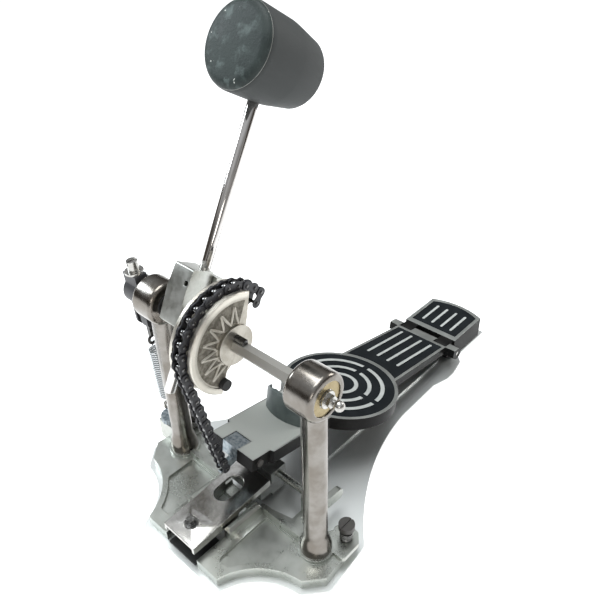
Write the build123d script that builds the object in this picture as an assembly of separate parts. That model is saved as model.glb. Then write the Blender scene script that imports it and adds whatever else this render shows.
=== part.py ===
from build123d import *
from math import atan2, cos, degrees, hypot, pi, radians, sin
import os

# Chain-drive bass drum pedal, millimetres.
# +Z up, -Y towards the drum, +Y towards the player's heel, X across the pedal.
# The origin is on the underside of the base plate, straight below the middle of the axle.

# ---- overall layout --------------------------------------------------------
axle_height = 162.3
post_spacing = 148.4          # between the two upright centre lines
rod_lean = 28.7               # beater rod, degrees back from vertical at rest
board_pitch = 10.1            # footboard, degrees down towards the heel
run_gap = 0.5                 # clearance between pieces that move past each other
fit = 0.05                    # radial clearance of a running fit

# ---- base ------------------------------------------------------------------
plate_t = 2.5
plate_front = -68.5
plate_front_half = 42.0
plate_lobe_half = 100.0
plate_waist_half = 37.5
plate_heel_half = 42.0
plate_tail_half = 30.0
plate_back = 319.0
rib_half = 17.0
rib_w = 9.0
rib_h = 2.2
cast_t = 8.5
cast_margin = 4.5             # base plate showing round the casting
cast_lip = 4.5                # raised edge round the casting's hollow
cast_dip = 2.5
lobe_back = 29.0
waist_swing = (61.0, 80.0)
waist_y = 160.0
heel_y = 240.0
post_d = 17.0
post_foot_d = 23.0
housing_len = 22.0
housing_d = 33.2
housing_round = 3.2
rim_h = 6.0
rim_t = 4.0

# ---- bearings and axle -----------------------------------------------------
bearing_od = 24.0
bearing_bore = 8.0
bearing_w = 8.0
bearing_recess = 1.6
ball_d = 4.0
ball_count = 8
axle_af = 9.0
axle_left_end = 19.0          # stub past the left housing, for the rocker
nipple_ball_d = 7.0

# ---- chain and cam ---------------------------------------------------------
pitch = 8.0
links_round = 13              # links lying round the cam at rest
step_angle = 12.0             # turn of one link round the cam
leave_angle = 192.2           # where the chain leaves the cam, from +Y about +X
last_pin_drop = 17.5          # the chain's last pin, below the toe's top edge
chain_x = -2.75
roller_d = 5.0
pin_d = 2.3
plate_h = 7.0
link_t = 0.8
inner_half = 2.2
link_gap = 0.25
pin_proud = 0.7
relief_r = 21.5
flange_t = 2.5
near_flange_x = 3.1
near_flange_r = 36.5
far_flange_r = 39.0
far_flange_x = -9.0           # inner face of the far flange
boss_r = 14.3
boss_end = 8.0
drum_clear = 0.6
free_links = 3                # links that leave the cam one by one as it turns

# ---- beater ----------------------------------------------------------------
rod_d = 8.0
rod_x = -47.4
rod_top = 181.0               # end of the rod inside the beater, from the axle
rod_tail = 62.0
hub_w = 19.0
hub_front = 11.0
hub_top = 34.5
hub_bottom = 8.5
hub_back = 17.5
head_r = 28.8
head_face_r = 21.5
head_front = 31.0
head_seam = 26.0
head_back = 33.0
head_taper = 25.0
head_centre = 178.5

# ---- footboard -------------------------------------------------------------
toe_y = -7.3
toe_z = 70.1
toe_half = 22.0
tongue_half = 25.0
tongue_step = 17.5
board_t = 11.0
deck_t = 1.2
notch_w = 16.0
notch_len = 13.7
notch_x = -2.3
disc_s = 125.2
disc_r = 50.5
disc_t = 11.0
panel_s0 = 160.0
panel_s1 = 255.0
panel_half0 = 30.0
panel_half1 = 28.0
stop_s = 47.5
stop_half = 18.5
stop_h = 22.0
stop_t = 3.0
hinge_s = 264.0
hinge_drop = 6.0
hinge_pin_d = 5.0
knuckle_r = 6.0
hinge_half = 38.0
heel_half = 29.0
heel_z = 24.0
heel_back = 317.0
heel_bow = 6.5
heel_pad_t = 2.5
heel_stripe = 31.0
pad_t = 2.0
disc_rim = 3.0
ring_radii = (14.2, 25.7, 37.0)
ring_w = 3.5
ring_break = 5.0
open_pivot_play = 1.6

# ---- hoop clamp ------------------------------------------------------------
clamp_half = 16.6
clamp_front = -64.5
clamp_back = 12.3
clamp_front_z = 23.4
clamp_back_z = 28.0
clamp_t = 2.2
clamp_skirt = 6.0
pyramid_len = 25.0
pyramid_h = 2.4
clamp_pivot_y = -29.0
clamp_pivot_z = 13.0
clamp_pin_d = 5.0
wall_t = 6.5
wall_gap = 0.8
wall_top = 21.5
wing_y = 24.0
wing_z = 24.5
wing_r = 21.0
wing_x = 57.6
wing_t = 5.0
wing_h = 9.5
wing_shaft_d = 6.0
wedge_over = 4.3

# ---- spurs, spring ---------------------------------------------------------
spur_x = 86.0
spur_y = 20.0
spur_d = 6.0
spur_head_d = 12.0
spur_head_z = 27.0
pad_top = 14.0
spring_x = -97.0
rocker_arm = 26.0
rocker_w = 15.0
anchor_z = 37.0
anchor_y = 6.0
spring_d = 12.0
spring_wire = 1.6
spring_low = 45.0
spring_drop = 50.3            # the spring's upper end, below the axle
hanger_half = 2.0

# ---- worked out ------------------------------------------------------------
post_x = post_spacing / 2
housing_in = post_x - housing_len / 2
housing_out = post_x + housing_len / 2
cam_r = pitch / 2 / sin(radians(step_angle / 2))
drum_r = cam_r * cos(radians(step_angle / 2)) - plate_h / 2 - drum_clear
cast_top = plate_t + cast_t
pin_half = inner_half + 2 * link_t + link_gap + pin_proud
slope = radians(board_pitch)
run_fall = axle_height + cam_r * sin(radians(leave_angle)) - toe_z + last_pin_drop
run_links = round(-run_fall / cos(radians(leave_angle)) / pitch)
spring_high = axle_height - spring_drop
lean = radians(rod_lean)
hinge_y = toe_y + hinge_s * cos(slope) - hinge_drop * sin(slope)
hinge_z = toe_z - hinge_s * sin(slope) - hinge_drop * cos(slope)


# ---- helpers ---------------------------------------------------------------
def save(node, shape):
    """Write one sub-part."""
    export_step(shape, "parts/" + node + ".step")


def group(solids):
    """Keep separate solids together in one sub-part."""
    return Compound(children=list(solids))


def rod_along_x(x0, x1, r, y=0.0, z=0.0):
    """Round bar along X."""
    return Pos((x0 + x1) / 2, y, z) * Rot(0, 90, 0) * Cylinder(r, x1 - x0)


def rod_up(x, y, z0, z1, r):
    """Round bar along Z."""
    return Pos(x, y, (z0 + z1) / 2) * Cylinder(r, z1 - z0)


def block(x0, x1, y0, y1, z0, z1):
    """Box between two corners."""
    return Pos((x0 + x1) / 2, (y0 + y1) / 2, (z0 + z1) / 2) * Box(x1 - x0, y1 - y0, z1 - z0)


def side_plate(points, x0, x1):
    """Outline in the YZ plane, pulled along X."""
    face = Plane.YZ * make_face(Polyline(*points, close=True))
    return Pos(x0, 0, 0) * extrude(face, amount=x1 - x0)


def hex_bar(x0, x1, flats):
    """Hexagonal bar along X with a flat facing the rod."""
    face = RegularPolygon(flats / 2, 6, major_radius=False)
    return Pos(x0, 0, 0) * extrude(Plane.YZ * Rot(0, 0, 30 - rod_lean) * face, amount=x1 - x0)


def on_axle(shape):
    """Lift a shape drawn about the origin to the axle."""
    return Pos(0, 0, axle_height) * shape


def in_rod_frame(shape):
    """Turn a shape drawn with its rod upright to the resting lean of the rod."""
    return on_axle(Rot(-rod_lean, 0, 0) * shape)


def on_board(shape):
    """Place a shape drawn flat, with Y along the board from the toe and Z out of its top."""
    return Pos(0, toe_y, toe_z) * Rot(-board_pitch, 0, 0) * shape


def mirrored(shape):
    """The same piece on the other side."""
    return mirror(shape, Plane.YZ)


# ---- base ------------------------------------------------------------------
def front_outline():
    """Right half of the base's front part, from the middle of its front edge to the back of the lobe."""
    corner = (plate_front_half + 3, plate_front + 8)
    bay = (post_x - 14, plate_front + 28)
    return [
        Line((0, plate_front), (plate_front_half, plate_front)),
        Line((plate_front_half, plate_front), corner),
        ThreePointArc(corner, bay, (plate_lobe_half - 14, plate_front + 38)),
        Line((plate_lobe_half - 14, plate_front + 38), (plate_lobe_half, plate_front + 54)),
        Line((plate_lobe_half, plate_front + 54), (plate_lobe_half - 4, lobe_back)),
    ]


def mirrored_face(edges):
    """Face inside the edges and their mirror image across the pedal."""
    half = Wire(edges)
    return make_face([*half.edges(), *mirror(half, Plane.YZ).edges()])


def base_plate():
    """Flat sheet with a waist, two pressed ribs and holes for the spurs."""
    lobe = (plate_lobe_half - 4, lobe_back)
    waist = (plate_waist_half + 1, waist_y)
    heel = (plate_heel_half, heel_y)
    tail = (plate_tail_half, plate_back)
    edges = front_outline() + [
        ThreePointArc(lobe, waist_swing, waist),
        *Polyline(waist, (plate_waist_half, heel_y - 28), (plate_heel_half, heel_y - 10), heel,
                  (plate_heel_half - 4, heel_y + 20), (plate_tail_half, heel_y + 28), tail,
                  (0, plate_back)).edges(),
    ]
    face = mirrored_face(edges)
    corners = face.vertices().filter_by(lambda v: abs(v.X) > 20 and v.Y < plate_back - 40)
    face = fillet(corners, 5.0)
    plate = extrude(face, amount=plate_t)
    for side in (-1, 1):
        rib = Pos(side * rib_half, 150, plate_t) * SlotOverall(200, rib_w, rotation=90)
        plate += extrude(rib, amount=rib_h)
        plate -= rod_up(side * spur_x, spur_y, -1, plate_t + 1, spur_d / 2 + run_gap)
        plate -= Pos(side * post_x, 0, 0) * Cylinder(5.0, 3 * plate_t)
    for x, y in plate_screw_places():
        plate -= rod_up(x, y, -1, plate_t + 1, 2.1)
        plate -= Pos(x, y, 0.8) * Cone(4.0, 2.1, 1.6)
    return plate


def plate_screw_places():
    """Screws that hold the casting down to the plate."""
    return [(-34, -50), (34, -50), (-50, -12), (50, -12)]


def plate_screws():
    """Countersunk screws from below, flush with the underside."""
    solids = []
    for x, y in plate_screw_places():
        solids.append(Pos(x, y, 0.8) * Cone(3.7, 2.0, 1.4) + rod_up(x, y, 1.0, plate_t + 5, 1.9))
    return group(solids)


def base_casting():
    """Cast front frame: wings, post feet, corner pads, clamp walls and rear rim."""
    edge = clamp_half + wall_gap
    lobe = (plate_lobe_half - 4, lobe_back)
    rear = Polyline(lobe, (post_x + 6, lobe_back + 8), (post_x - 8, 17), (edge + 6, 7), (0, 7))
    face = mirrored_face([*front_outline(), *rear.edges()])
    face = fillet(face.vertices().filter_by(lambda v: abs(v.X) > edge), 5.0)
    face = offset(face, amount=-cast_margin)
    side = Pos(edge + 100, 0) * Rectangle(200, 400)
    wing = Pos(0, 0, plate_t) * extrude(face & side, amount=cast_t)
    inner = offset(face, amount=-cast_lip) & (Pos(edge + 26, -29) * Rectangle(30, 48))
    wing -= Pos(0, 0, cast_top - cast_dip) * extrude(fillet(inner.vertices(), 2.0), amount=4)
    wing += block(24, post_x - 8, -rim_t, 0, cast_top - 1, cast_top + rim_h)
    wing += rod_up(post_x, 0, cast_top - 1, pad_top, post_foot_d / 2 + 1.5)
    pad = make_face(Polyline((post_x + 4, 4), (96, 4), (96, 22), (90, 29), (78, 30), (74, 22), close=True))
    wing += Pos(0, 0, cast_top - 1) * extrude(fillet(pad.vertices(), 3.0), amount=pad_top - cast_top + 1)
    wall = block(clamp_half + wall_gap, clamp_half + wall_gap + wall_t, -37, -5, plate_t, wall_top)
    wing += chamfer(wall.edges().group_by(Axis.Z)[-1], 2.0)
    wing -= rod_up(post_x, 0, 0, cast_top + 10, 4.0)
    wing -= rod_up(post_x, 0, pad_top, 60, post_foot_d / 2 + 1)
    wing -= rod_up(spur_x, spur_y, 0, 20, spur_d / 2 + fit)
    for x, y in plate_screw_places():
        wing -= rod_up(x, y, 0, plate_t + 5.5, 1.9)
    wing -= rod_along_x(10, 30, clamp_pin_d / 2, clamp_pivot_y, clamp_pivot_z)
    return wing


def cast_right():
    """Right half of the casting with the bearing block of the wing screw."""
    half = base_casting()
    half += block(44, 52, -2, wing_y + 8, plate_t, cast_top)
    half += block(44, 52, wing_y - 7, wing_y + 7, plate_t, wing_z)
    half += rod_along_x(44, 52, 7.0, wing_y, wing_z)
    half -= rod_along_x(40, 56, wing_shaft_d / 2 + fit, wing_y, wing_z)
    half -= rod_along_x(wing_x - 0.8, wing_x + wing_t + 0.8, wing_r + 0.6, wing_y, wing_z)
    return half


def cast_left():
    """Left half of the casting with the lug that anchors the spring."""
    half = mirrored(base_casting())
    lug = block(spring_x - 8, -post_x - 6, anchor_y - 8, anchor_y + 8, plate_t + 2, 25)
    lug += block(-92, -80, anchor_y - 8, anchor_y + 8, plate_t + 1, cast_top)
    half += lug
    half -= rod_up(spring_x, anchor_y, 0, 30, 2.5 + fit)
    half -= rod_up(-post_x, 0, pad_top, 60, post_foot_d / 2 + 1)
    return half


def clamp_bridge():
    """Cross member that ties the two halves of the casting under the clamp plate."""
    half = clamp_half + wall_gap
    return block(-half, half, -8, 2, plate_t, plate_t + 5)


def upright():
    """Right upright: flared post with the bearing housing on top."""
    z0 = pad_top
    foot = Pos(post_x, 0, z0 + 2) * Cylinder(post_foot_d / 2, 4)
    flare = Pos(post_x, 0, z0 + 10) * Cone(post_foot_d / 2, post_d / 2, 12)
    post = foot + flare + rod_up(post_x, 0, z0 + 12, axle_height, post_d / 2)
    shell = rod_along_x(housing_in, housing_out, housing_d / 2, 0, axle_height)
    shell = fillet(shell.edges().filter_by(GeomType.CIRCLE), housing_round)
    post += shell
    seat = housing_out - bearing_recess - bearing_w
    post -= rod_along_x(seat, housing_out + 1, bearing_od / 2, 0, axle_height)
    post -= rod_along_x(housing_in - 1, seat + 1, bearing_od / 2 - 3.5, 0, axle_height)
    post += rod_up(post_x, 0, z0 - 5, z0, 4.0 - fit / 2) - rod_up(post_x, 0, z0 - 6, z0 + 1, 2.5)
    post -= rod_up(post_x, 0, z0 - 6, z0 + 12, 2.5)
    return post


def upright_screws():
    """Screws that pull the uprights down on to the casting."""
    solids = []
    for side in (-1, 1):
        head = rod_up(side * post_x, 0, plate_t, plate_t + 3, 3.9)
        solids.append(head + rod_up(side * post_x, 0, plate_t + 3, pad_top + 10, 2.45))
    return group(solids)


# ---- bearings --------------------------------------------------------------
def bearing(side):
    """Outer ring, inner ring, balls and seal of one ball bearing."""
    x1 = housing_out - bearing_recess
    x0 = x1 - bearing_w
    mean_r = (bearing_od + bearing_bore) / 4
    race = Pos((x0 + x1) / 2, 0, 0) * Rot(0, 90, 0) * Torus(mean_r, ball_d / 2 + fit)
    outer = rod_along_x(x0, x1, bearing_od / 2) - rod_along_x(x0 - 1, x1 + 1, mean_r + 1.4) - race
    inner = rod_along_x(x0, x1, mean_r - 1.4) - rod_along_x(x0 - 1, x1 + 1, bearing_bore / 2) - race
    balls = []
    for i in range(ball_count):
        a = 2 * pi * i / ball_count
        balls.append(Pos((x0 + x1) / 2, mean_r * cos(a), mean_r * sin(a)) * Sphere(ball_d / 2))
    seal = rod_along_x(x1, x1 + 0.8, bearing_od / 2 - 0.1)
    seal -= rod_along_x(x1 - 1, x1 + 2, bearing_bore / 2 + 2.2)
    pieces = [[on_axle(outer)], [on_axle(inner)], [on_axle(b) for b in balls], [on_axle(seal)]]
    if side < 0:
        pieces = [[mirrored(p) for p in piece] for piece in pieces]
    return pieces


# ---- axle ------------------------------------------------------------------
def axle():
    """Hexagonal axle with round journals; the left end carries the rocker."""
    inner_end = housing_out - bearing_recess - bearing_w
    bar = hex_bar(-inner_end, inner_end, axle_af)
    bar += rod_along_x(-housing_out - axle_left_end, housing_out - 0.5, bearing_bore / 2)
    bar -= rod_along_x(housing_out - 12, housing_out + 1, 2.0)
    return on_axle(bar)


def axle_nipple():
    """Screw with a ball end in the right end of the axle, and its washer."""
    x = housing_out - 0.5
    body = rod_along_x(x - 10, x, 2.0) + rod_along_x(x, x + 1.2, 5.8)
    body += Pos(x + 1.2, 0, 0) * extrude(Plane.YZ * RegularPolygon(4.2, 6), amount=3.2)
    body += rod_along_x(x + 4, x + 7, 2.2)
    body += Pos(x + 9, 0, 0) * Sphere(nipple_ball_d / 2)
    return on_axle(body)


# ---- cam and chain ---------------------------------------------------------
def cam_pin(i):
    """Centre of the i-th chain pin round the cam, counted from where the chain leaves."""
    a = radians(leave_angle - step_angle * i)
    return (cam_r * cos(a), axle_height + cam_r * sin(a))


def run_pin(i):
    """Centre of the i-th pin down the straight run."""
    y, z = cam_pin(0)
    a = radians(leave_angle)
    return (y - sin(a) * pitch * i, z + cos(a) * pitch * i)


def anchor_pin():
    """Centre of the pin that holds the chain's upper end to the cam."""
    y, z = cam_pin(links_round)
    a = radians(232.0)
    return (y + pitch * cos(a), z + pitch * sin(a))


def link(a, b, outer):
    """One chain link between two pin centres: side plates with pins, or with rollers."""
    angle = degrees(atan2(b[1] - a[1], b[0] - a[0]))
    middle = ((a[0] + b[0]) / 2, (a[1] + b[1]) / 2)
    span = hypot(b[0] - a[0], b[1] - a[1])
    shape = Rot(0, 0, angle) * SlotCenterToCenter(span, plate_h)
    bite = plate_h / 2 + 2.2
    waist = Rot(0, 0, angle) * (Pos(0, bite) * Circle(3) + Pos(0, -bite) * Circle(3))
    face = Plane.YZ * (Pos(*middle) * (shape - waist))
    x0 = inner_half + link_t + link_gap if outer else inner_half
    body = None
    for side in (-1, 1):
        x = chain_x + side * x0 - (link_t if side < 0 else 0)
        plate = Pos(x, 0, 0) * extrude(face, amount=link_t)
        body = plate if body is None else body + plate
    for y, z in (a, b):
        if outer:
            body += rod_along_x(chain_x - pin_half, chain_x + pin_half, pin_d / 2, y, z)
        else:
            body += rod_along_x(chain_x - inner_half, chain_x + inner_half, roller_d / 2, y, z)
            body -= rod_along_x(chain_x - 10, chain_x + 10, pin_d / 2 + fit, y, z)
    return body


def cam_chain():
    """Links that stay on the cam, and the end link down to its anchor."""
    links = []
    for i in range(free_links, links_round):
        links.append(link(cam_pin(i), cam_pin(i + 1), outer=i % 2 == 1))
    links.append(link(cam_pin(links_round), anchor_pin(), outer=True))
    return group(links)


def free_link(i):
    """Link i that leaves the cam as it turns."""
    return link(cam_pin(i), cam_pin(i + 1), outer=i % 2 == 1)


def chain_run():
    """Straight run from the cam down to the footboard."""
    return group([link(run_pin(i), run_pin(i + 1), outer=i % 2 == 0) for i in range(run_links)])


def flange_face(r, a0, a1):
    """Half-moon outline about the axle between two angles."""
    def at(radius, angle):
        return (radius * cos(radians(angle)), radius * sin(radians(angle)))
    arc = ThreePointArc(at(r, a0), at(r, (a0 + a1) / 2), at(r, a1))
    back = Polyline(at(r, a1), at(20, a1 - 2), at(11, a1 + 40), at(11, a0 - 40), at(20, a0 - 14), at(r, a0))
    return make_face([arc, back])


def sector(r0, r1, a0, a1, x0, x1):
    """Part of a ring about the axle, along X."""
    def at(radius, angle):
        return (radius * cos(radians(angle)), radius * sin(radians(angle)))
    mid = (a0 + a1) / 2
    wire = [
        ThreePointArc(at(r1, a0), at(r1, mid), at(r1, a1)), Line(at(r1, a1), at(r0, a1)),
        ThreePointArc(at(r0, a1), at(r0, mid), at(r0, a0)), Line(at(r0, a0), at(r1, a0)),
    ]
    return Pos(x0, 0, 0) * extrude(Plane.YZ * make_face(wire), amount=x1 - x0)


def cam():
    """One casting: two half-moon flanges, the drum that the chain lies on, and the boss."""
    near_x = near_flange_x
    near = Pos(near_x, 0, 0) * extrude(Plane.YZ * flange_face(near_flange_r, 63, 247), amount=flange_t)
    far = extrude(Plane.YZ * flange_face(far_flange_r, 26, 235), amount=flange_t)
    far = Pos(far_flange_x - flange_t, 0, 0) * far
    body = near + far + rod_along_x(far_flange_x - 4, boss_end, boss_r)
    body += sector(12, drum_r - 3, 60, 230, far_flange_x - 0.5, near_x + 0.5)
    body += sector(12, drum_r, 60, 150, far_flange_x - 0.5, near_x + 0.5)
    for i in range(7):
        a = radians(84 + 23 * i)
        window = Rot(0, 0, degrees(a)) * Polygon((-5.5, -2.6), (-5.5, 2.6), (5.5, 0))
        window = Pos(relief_r * cos(a), relief_r * sin(a)) * window
        body -= Pos(near_x + flange_t - 1.2, 0, 0) * extrude(Plane.YZ * window, amount=5)
    body -= hex_bar(-30, 30, axle_af + 2 * fit)
    y, z = anchor_pin()
    lug_z = z - axle_height
    lug = extrude(Plane.YZ * Pos(y, lug_z) * Circle(5.0), amount=flange_t)
    body += Pos(far_flange_x - flange_t, 0, 0) * lug
    body -= rod_along_x(far_flange_x - 6, far_flange_x + 1, pin_d / 2, y, lug_z)
    body -= rod_along_x(near_x - 1.5, boss_end + 4, 4.0, -12.5, -25.5)
    return on_axle(body)


def cam_bumper():
    """Rubber buffer at the lower end of the cam."""
    return on_axle(rod_along_x(near_flange_x - 1.5, boss_end + 1.5, 4.0, -12.5, -25.5))


def cam_key():
    """Key on the axle flat that locks the cam to it."""
    return on_axle(block(boss_end, boss_end + 9, -2, 2, axle_af / 2 + 0.35, axle_af / 2 + 3.3))


# ---- beater ----------------------------------------------------------------
def rod_offset():
    """Distance of the beater rod's centre behind the axle."""
    return axle_af / 2 + rod_d / 2 + 0.4


def beater_hub():
    """Block on the axle with a groove for the rod."""
    points = [
        (-hub_front, -hub_bottom + 2), (-hub_front - 1, hub_top / 2), (-hub_front + 1, hub_top),
        (rod_offset() - 0.3, hub_top), (rod_offset() - 0.3, -hub_bottom), (-hub_front + 3, -hub_bottom),
    ]
    x0 = rod_x - hub_w / 2
    body = side_plate(points, x0, x0 + hub_w)
    body = fillet(body.edges().filter_by(Axis.X).sort_by(Axis.Z)[-2:], 1.5)
    body -= Rot(rod_lean, 0, 0) * hex_bar(-90, 0, axle_af + 2 * fit)
    body -= Pos(rod_x, rod_offset(), 10) * Cylinder(rod_d / 2 + fit, 100)
    body -= Pos(rod_x + 6.8, 0, 24) * Rot(90, 0, 0) * Cylinder(2.0, 60)
    return in_rod_frame(body)


def beater_clamp():
    """Rear half of the rod clamp, with a rounded ear."""
    y0 = rod_offset() + 0.3
    x0 = rod_x - hub_w / 2
    body = block(x0, x0 + hub_w + 4, y0, hub_back, 10, hub_top - 3)
    body = fillet(body.edges().filter_by(Axis.X).sort_by(Axis.Y)[-2:], 3.0)
    body -= Pos(rod_x, rod_offset(), 10) * Cylinder(rod_d / 2 + fit, 100)
    body -= Pos(rod_x + 6.8, 0, 24) * Rot(90, 0, 0) * Cylinder(2.0, 60)
    return in_rod_frame(body)


def rod_clamp_screw():
    """Square-head screw that closes the rod clamp."""
    head = Pos(rod_x + 6.8, hub_back + 2.5, 24) * Box(5.5, 5, 5.5)
    shank = Pos(rod_x + 6.8, (hub_back - 3) / 2, 24) * Rot(90, 0, 0) * Cylinder(1.95, hub_back + 3)
    return in_rod_frame(head + shank)


def beater_rod():
    """Straight chromed rod."""
    length = rod_top + rod_tail
    bar = Pos(rod_x, rod_offset(), (rod_top - rod_tail) / 2) * Cylinder(rod_d / 2, length)
    bar = chamfer(bar.edges().filter_by(GeomType.CIRCLE), 1.0)
    return in_rod_frame(bar)


def head_profile(stations):
    """Turned piece about the beater's striking axis from (distance forward, radius) stations."""
    points = [(0, stations[0][0])] + [(r, f) for f, r in stations] + [(0, stations[-1][0])]
    turned = revolve(Plane.XY * make_face(Polyline(*points, close=True)), axis=Axis.Y)
    return Pos(rod_x, rod_offset(), head_centre) * Rot(0, 0, 180) * turned


def beater_body():
    """Solid moulded beater head."""
    stations = [(head_seam, head_r - 0.5), (head_seam - 3, head_r)]
    stations += [(-head_back + head_taper, head_r - 0.6), (-head_back + 2, head_r - 4.2)]
    stations += [(-head_back, head_r - 6.5)]
    body = head_profile(stations)
    bore = Cylinder(rod_d / 2 + fit, rod_top - head_centre + 60)
    body -= Pos(rod_x, rod_offset(), head_centre - 20) * bore
    body -= Pos(rod_x, rod_offset() + 15, head_centre) * Rot(90, 0, 0) * Cylinder(2.5, 60)
    return in_rod_frame(body)


def beater_cap():
    """Hard striking cap on the front of the beater."""
    stations = [(head_front, head_face_r), (head_front - 2.5, head_face_r + 4.5)]
    stations += [(head_seam + 0.8, head_r - 1)]
    return in_rod_frame(head_profile(stations))


def beater_seam():
    """Thin ring between the cap and the body."""
    return in_rod_frame(head_profile([(head_seam + 0.8, head_r - 0.6), (head_seam, head_r - 0.6)]))


def beater_screw():
    """Grub screw that locks the beater on its rod."""
    y0 = rod_offset() + rod_d / 2 + 0.05
    return in_rod_frame(Pos(rod_x, y0 + 5, head_centre) * Rot(90, 0, 0) * Cylinder(2.5, 10))


# ---- footboard -------------------------------------------------------------
def board_plan():
    """Plan of the footboard without its disc, toe at the origin and Y along the board."""
    right = [
        (toe_half, 0), (toe_half, tongue_step), (tongue_half, tongue_step + 1),
        (tongue_half + 1, disc_s - 40),
        (panel_half0, panel_s0), (panel_half1, panel_s1), (hinge_half, panel_s1 + 1), (hinge_half, hinge_s),
    ]
    return make_face(Polyline(*(right + [(-x, s) for x, s in reversed(right)]), close=True))


def footboard():
    """Black casting: tongue, round rest for the ball of the foot, panel bed and hinge knuckles."""
    disc = Pos(0, disc_s) * Circle(disc_r)
    body = Pos(0, 0, -board_t) * extrude(board_plan(), amount=board_t)
    thin = board_plan() - Pos(0, disc_s - 300) * Rectangle(120, 600)
    body -= Pos(0, 0, -board_t - 1) * extrude(thin, amount=4)
    body += Pos(0, 0, -disc_t) * extrude(disc, amount=disc_t)
    body -= Pos(0, 0, -deck_t) * extrude(deck_plan(0.0), amount=deck_t)
    body -= Pos(0, disc_s, -pad_t / 2) * Cylinder(disc_r - disc_rim, pad_t)
    body -= Pos(0, 0, -pad_t) * extrude(panel_plan(0.0), amount=pad_t)
    body += Pos(0, hinge_s, -hinge_drop) * Rot(0, 90, 0) * Cylinder(knuckle_r, 2 * hinge_half)
    for x0, x1 in heel_ear_places():
        body -= block(x0 - run_gap, x1 + run_gap, hinge_s - knuckle_r - 1.5, hinge_s + 10, -20, 5)
    body -= Pos(0, hinge_s, -hinge_drop) * Rot(0, 90, 0) * Cylinder(hinge_pin_d / 2 + fit, 100)
    body -= block(notch_x - notch_w / 2, notch_x + notch_w / 2, -1, notch_len, -20, 5)
    for side in (-1, 1):
        body -= Pos(side * 11, stop_s + 7, -6) * Cylinder(1.5, 13)
    body -= Pos(10, notch_len / 2, -board_t / 2) * Rot(0, 90, 0) * Cylinder(1.5, 60)
    return on_board(body)


def deck_plan(inset):
    """Plan of the grey deck on the tongue, stopping short of the disc."""
    right = [(toe_half - 0.8, 0.8), (toe_half - 0.8, tongue_step), (tongue_half - 0.8, tongue_step + 1.5)]
    right += [(tongue_half - 0.8, disc_s - 40)]
    face = make_face(Polyline(*(right + [(-x, s) for x, s in reversed(right)]), close=True))
    face -= Pos(0, disc_s) * Circle(disc_r + 1.0 + inset)
    return face - Pos(notch_x, 0) * Rectangle(notch_w + 1.5 + inset, 2 * notch_len + 1.5 + inset)


def panel_plan(inset):
    """Plan of the striped panel behind the disc."""
    half0 = panel_half0 - 2.5 - inset
    half1 = panel_half1 - 2.5 - inset
    back = panel_s1 - 2 - inset
    corners = [(half0, panel_s0), (half1, back), (-half1, back), (-half0, panel_s0)]
    face = make_face(Polyline(*corners, close=True))
    return face - Pos(0, disc_s) * Circle(disc_r + 1.0 + inset)


def toe_deck():
    """Thin satin plate on the tongue."""
    plate = Pos(0, 0, -deck_t) * extrude(deck_plan(0.1), amount=deck_t)
    for side in (-1, 1):
        plate -= Pos(side * 11, stop_s + 7, 0) * Cylinder(1.6, 10)
    return on_board(plate)


def disc_tread():
    """Round tread with raised broken rings."""
    tread = Pos(0, disc_s, -pad_t / 2) * Cylinder(disc_r - disc_rim - 0.1, pad_t)
    gap = Rectangle(2 * disc_r, ring_break) + Rectangle(ring_break, 2 * disc_r)
    for r in ring_radii:
        ring = Circle(r + ring_w / 2) - Circle(r - ring_w / 2)
        if r > ring_radii[0]:
            ring -= gap
        for piece in ring.faces():
            tread += Pos(0, disc_s, -0.01) * extrude(piece, amount=0.5)
    return on_board(tread)


def panel_tread():
    """Tread panel with four raised stripes along the board."""
    tread = Pos(0, 0, -pad_t) * extrude(panel_plan(0.1), amount=pad_t)
    middle = (disc_s + disc_r + panel_s1) / 2 + 2
    length = panel_s1 - disc_s - disc_r - 20
    for x in stripe_places(panel_half1):
        stripe = Pos(x, middle) * SlotOverall(length, 2.6, rotation=90)
        tread += Pos(0, 0, -0.01) * extrude(stripe, amount=0.5)
    return on_board(tread)


def stripe_places(half):
    """Even stripe positions across a panel."""
    return [half * k for k in (-0.6, -0.2, 0.2, 0.6)]


def toe_stop():
    """Upright curved stop for the toe, screwed to the deck."""
    arc = ThreePointArc((-stop_half, stop_s + 6), (0, stop_s + 1), (stop_half, stop_s + 6))
    rear = stop_s + stop_t
    back = ThreePointArc((stop_half, rear + 6), (0, rear + 1), (-stop_half, rear + 6))
    sides = [Line((stop_half, stop_s + 6), (stop_half, stop_s + 6 + stop_t))]
    sides += [Line((-stop_half, stop_s + 6 + stop_t), (-stop_half, stop_s + 6))]
    wall = extrude(make_face([arc, back] + sides), amount=stop_h)
    wall = fillet(wall.edges().filter_by(Axis.Y).group_by(Axis.Z)[-1], 5.0)
    foot = block(-stop_half + 2, stop_half - 2, stop_s + 5, stop_s + 11, 0, 2)
    stop = wall + foot
    for side in (-1, 1):
        stop -= Pos(side * 11, stop_s + 7, 0) * Cylinder(1.6, 20)
        stop -= Pos(side * 11, stop_s + 7, 2 + 10) * Cylinder(3.2, 20)
    return on_board(stop)


def toe_stop_screws():
    """Two small screws through the foot of the toe stop."""
    solids = []
    for side in (-1, 1):
        head = Pos(side * 11, stop_s + 7, 2.8) * Cylinder(2.8, 1.6)
        solids.append(on_board(head + Pos(side * 11, stop_s + 7, -3) * Cylinder(1.45, 10.4)))
    return group(solids)


def last_pin_on_board():
    """Last pin of the chain, as (along the board, out of the board)."""
    y, z = run_pin(run_links)
    dy = y - toe_y
    dz = z - toe_z
    return (dy * cos(slope) - dz * sin(slope), dy * sin(slope) + dz * cos(slope))


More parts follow.
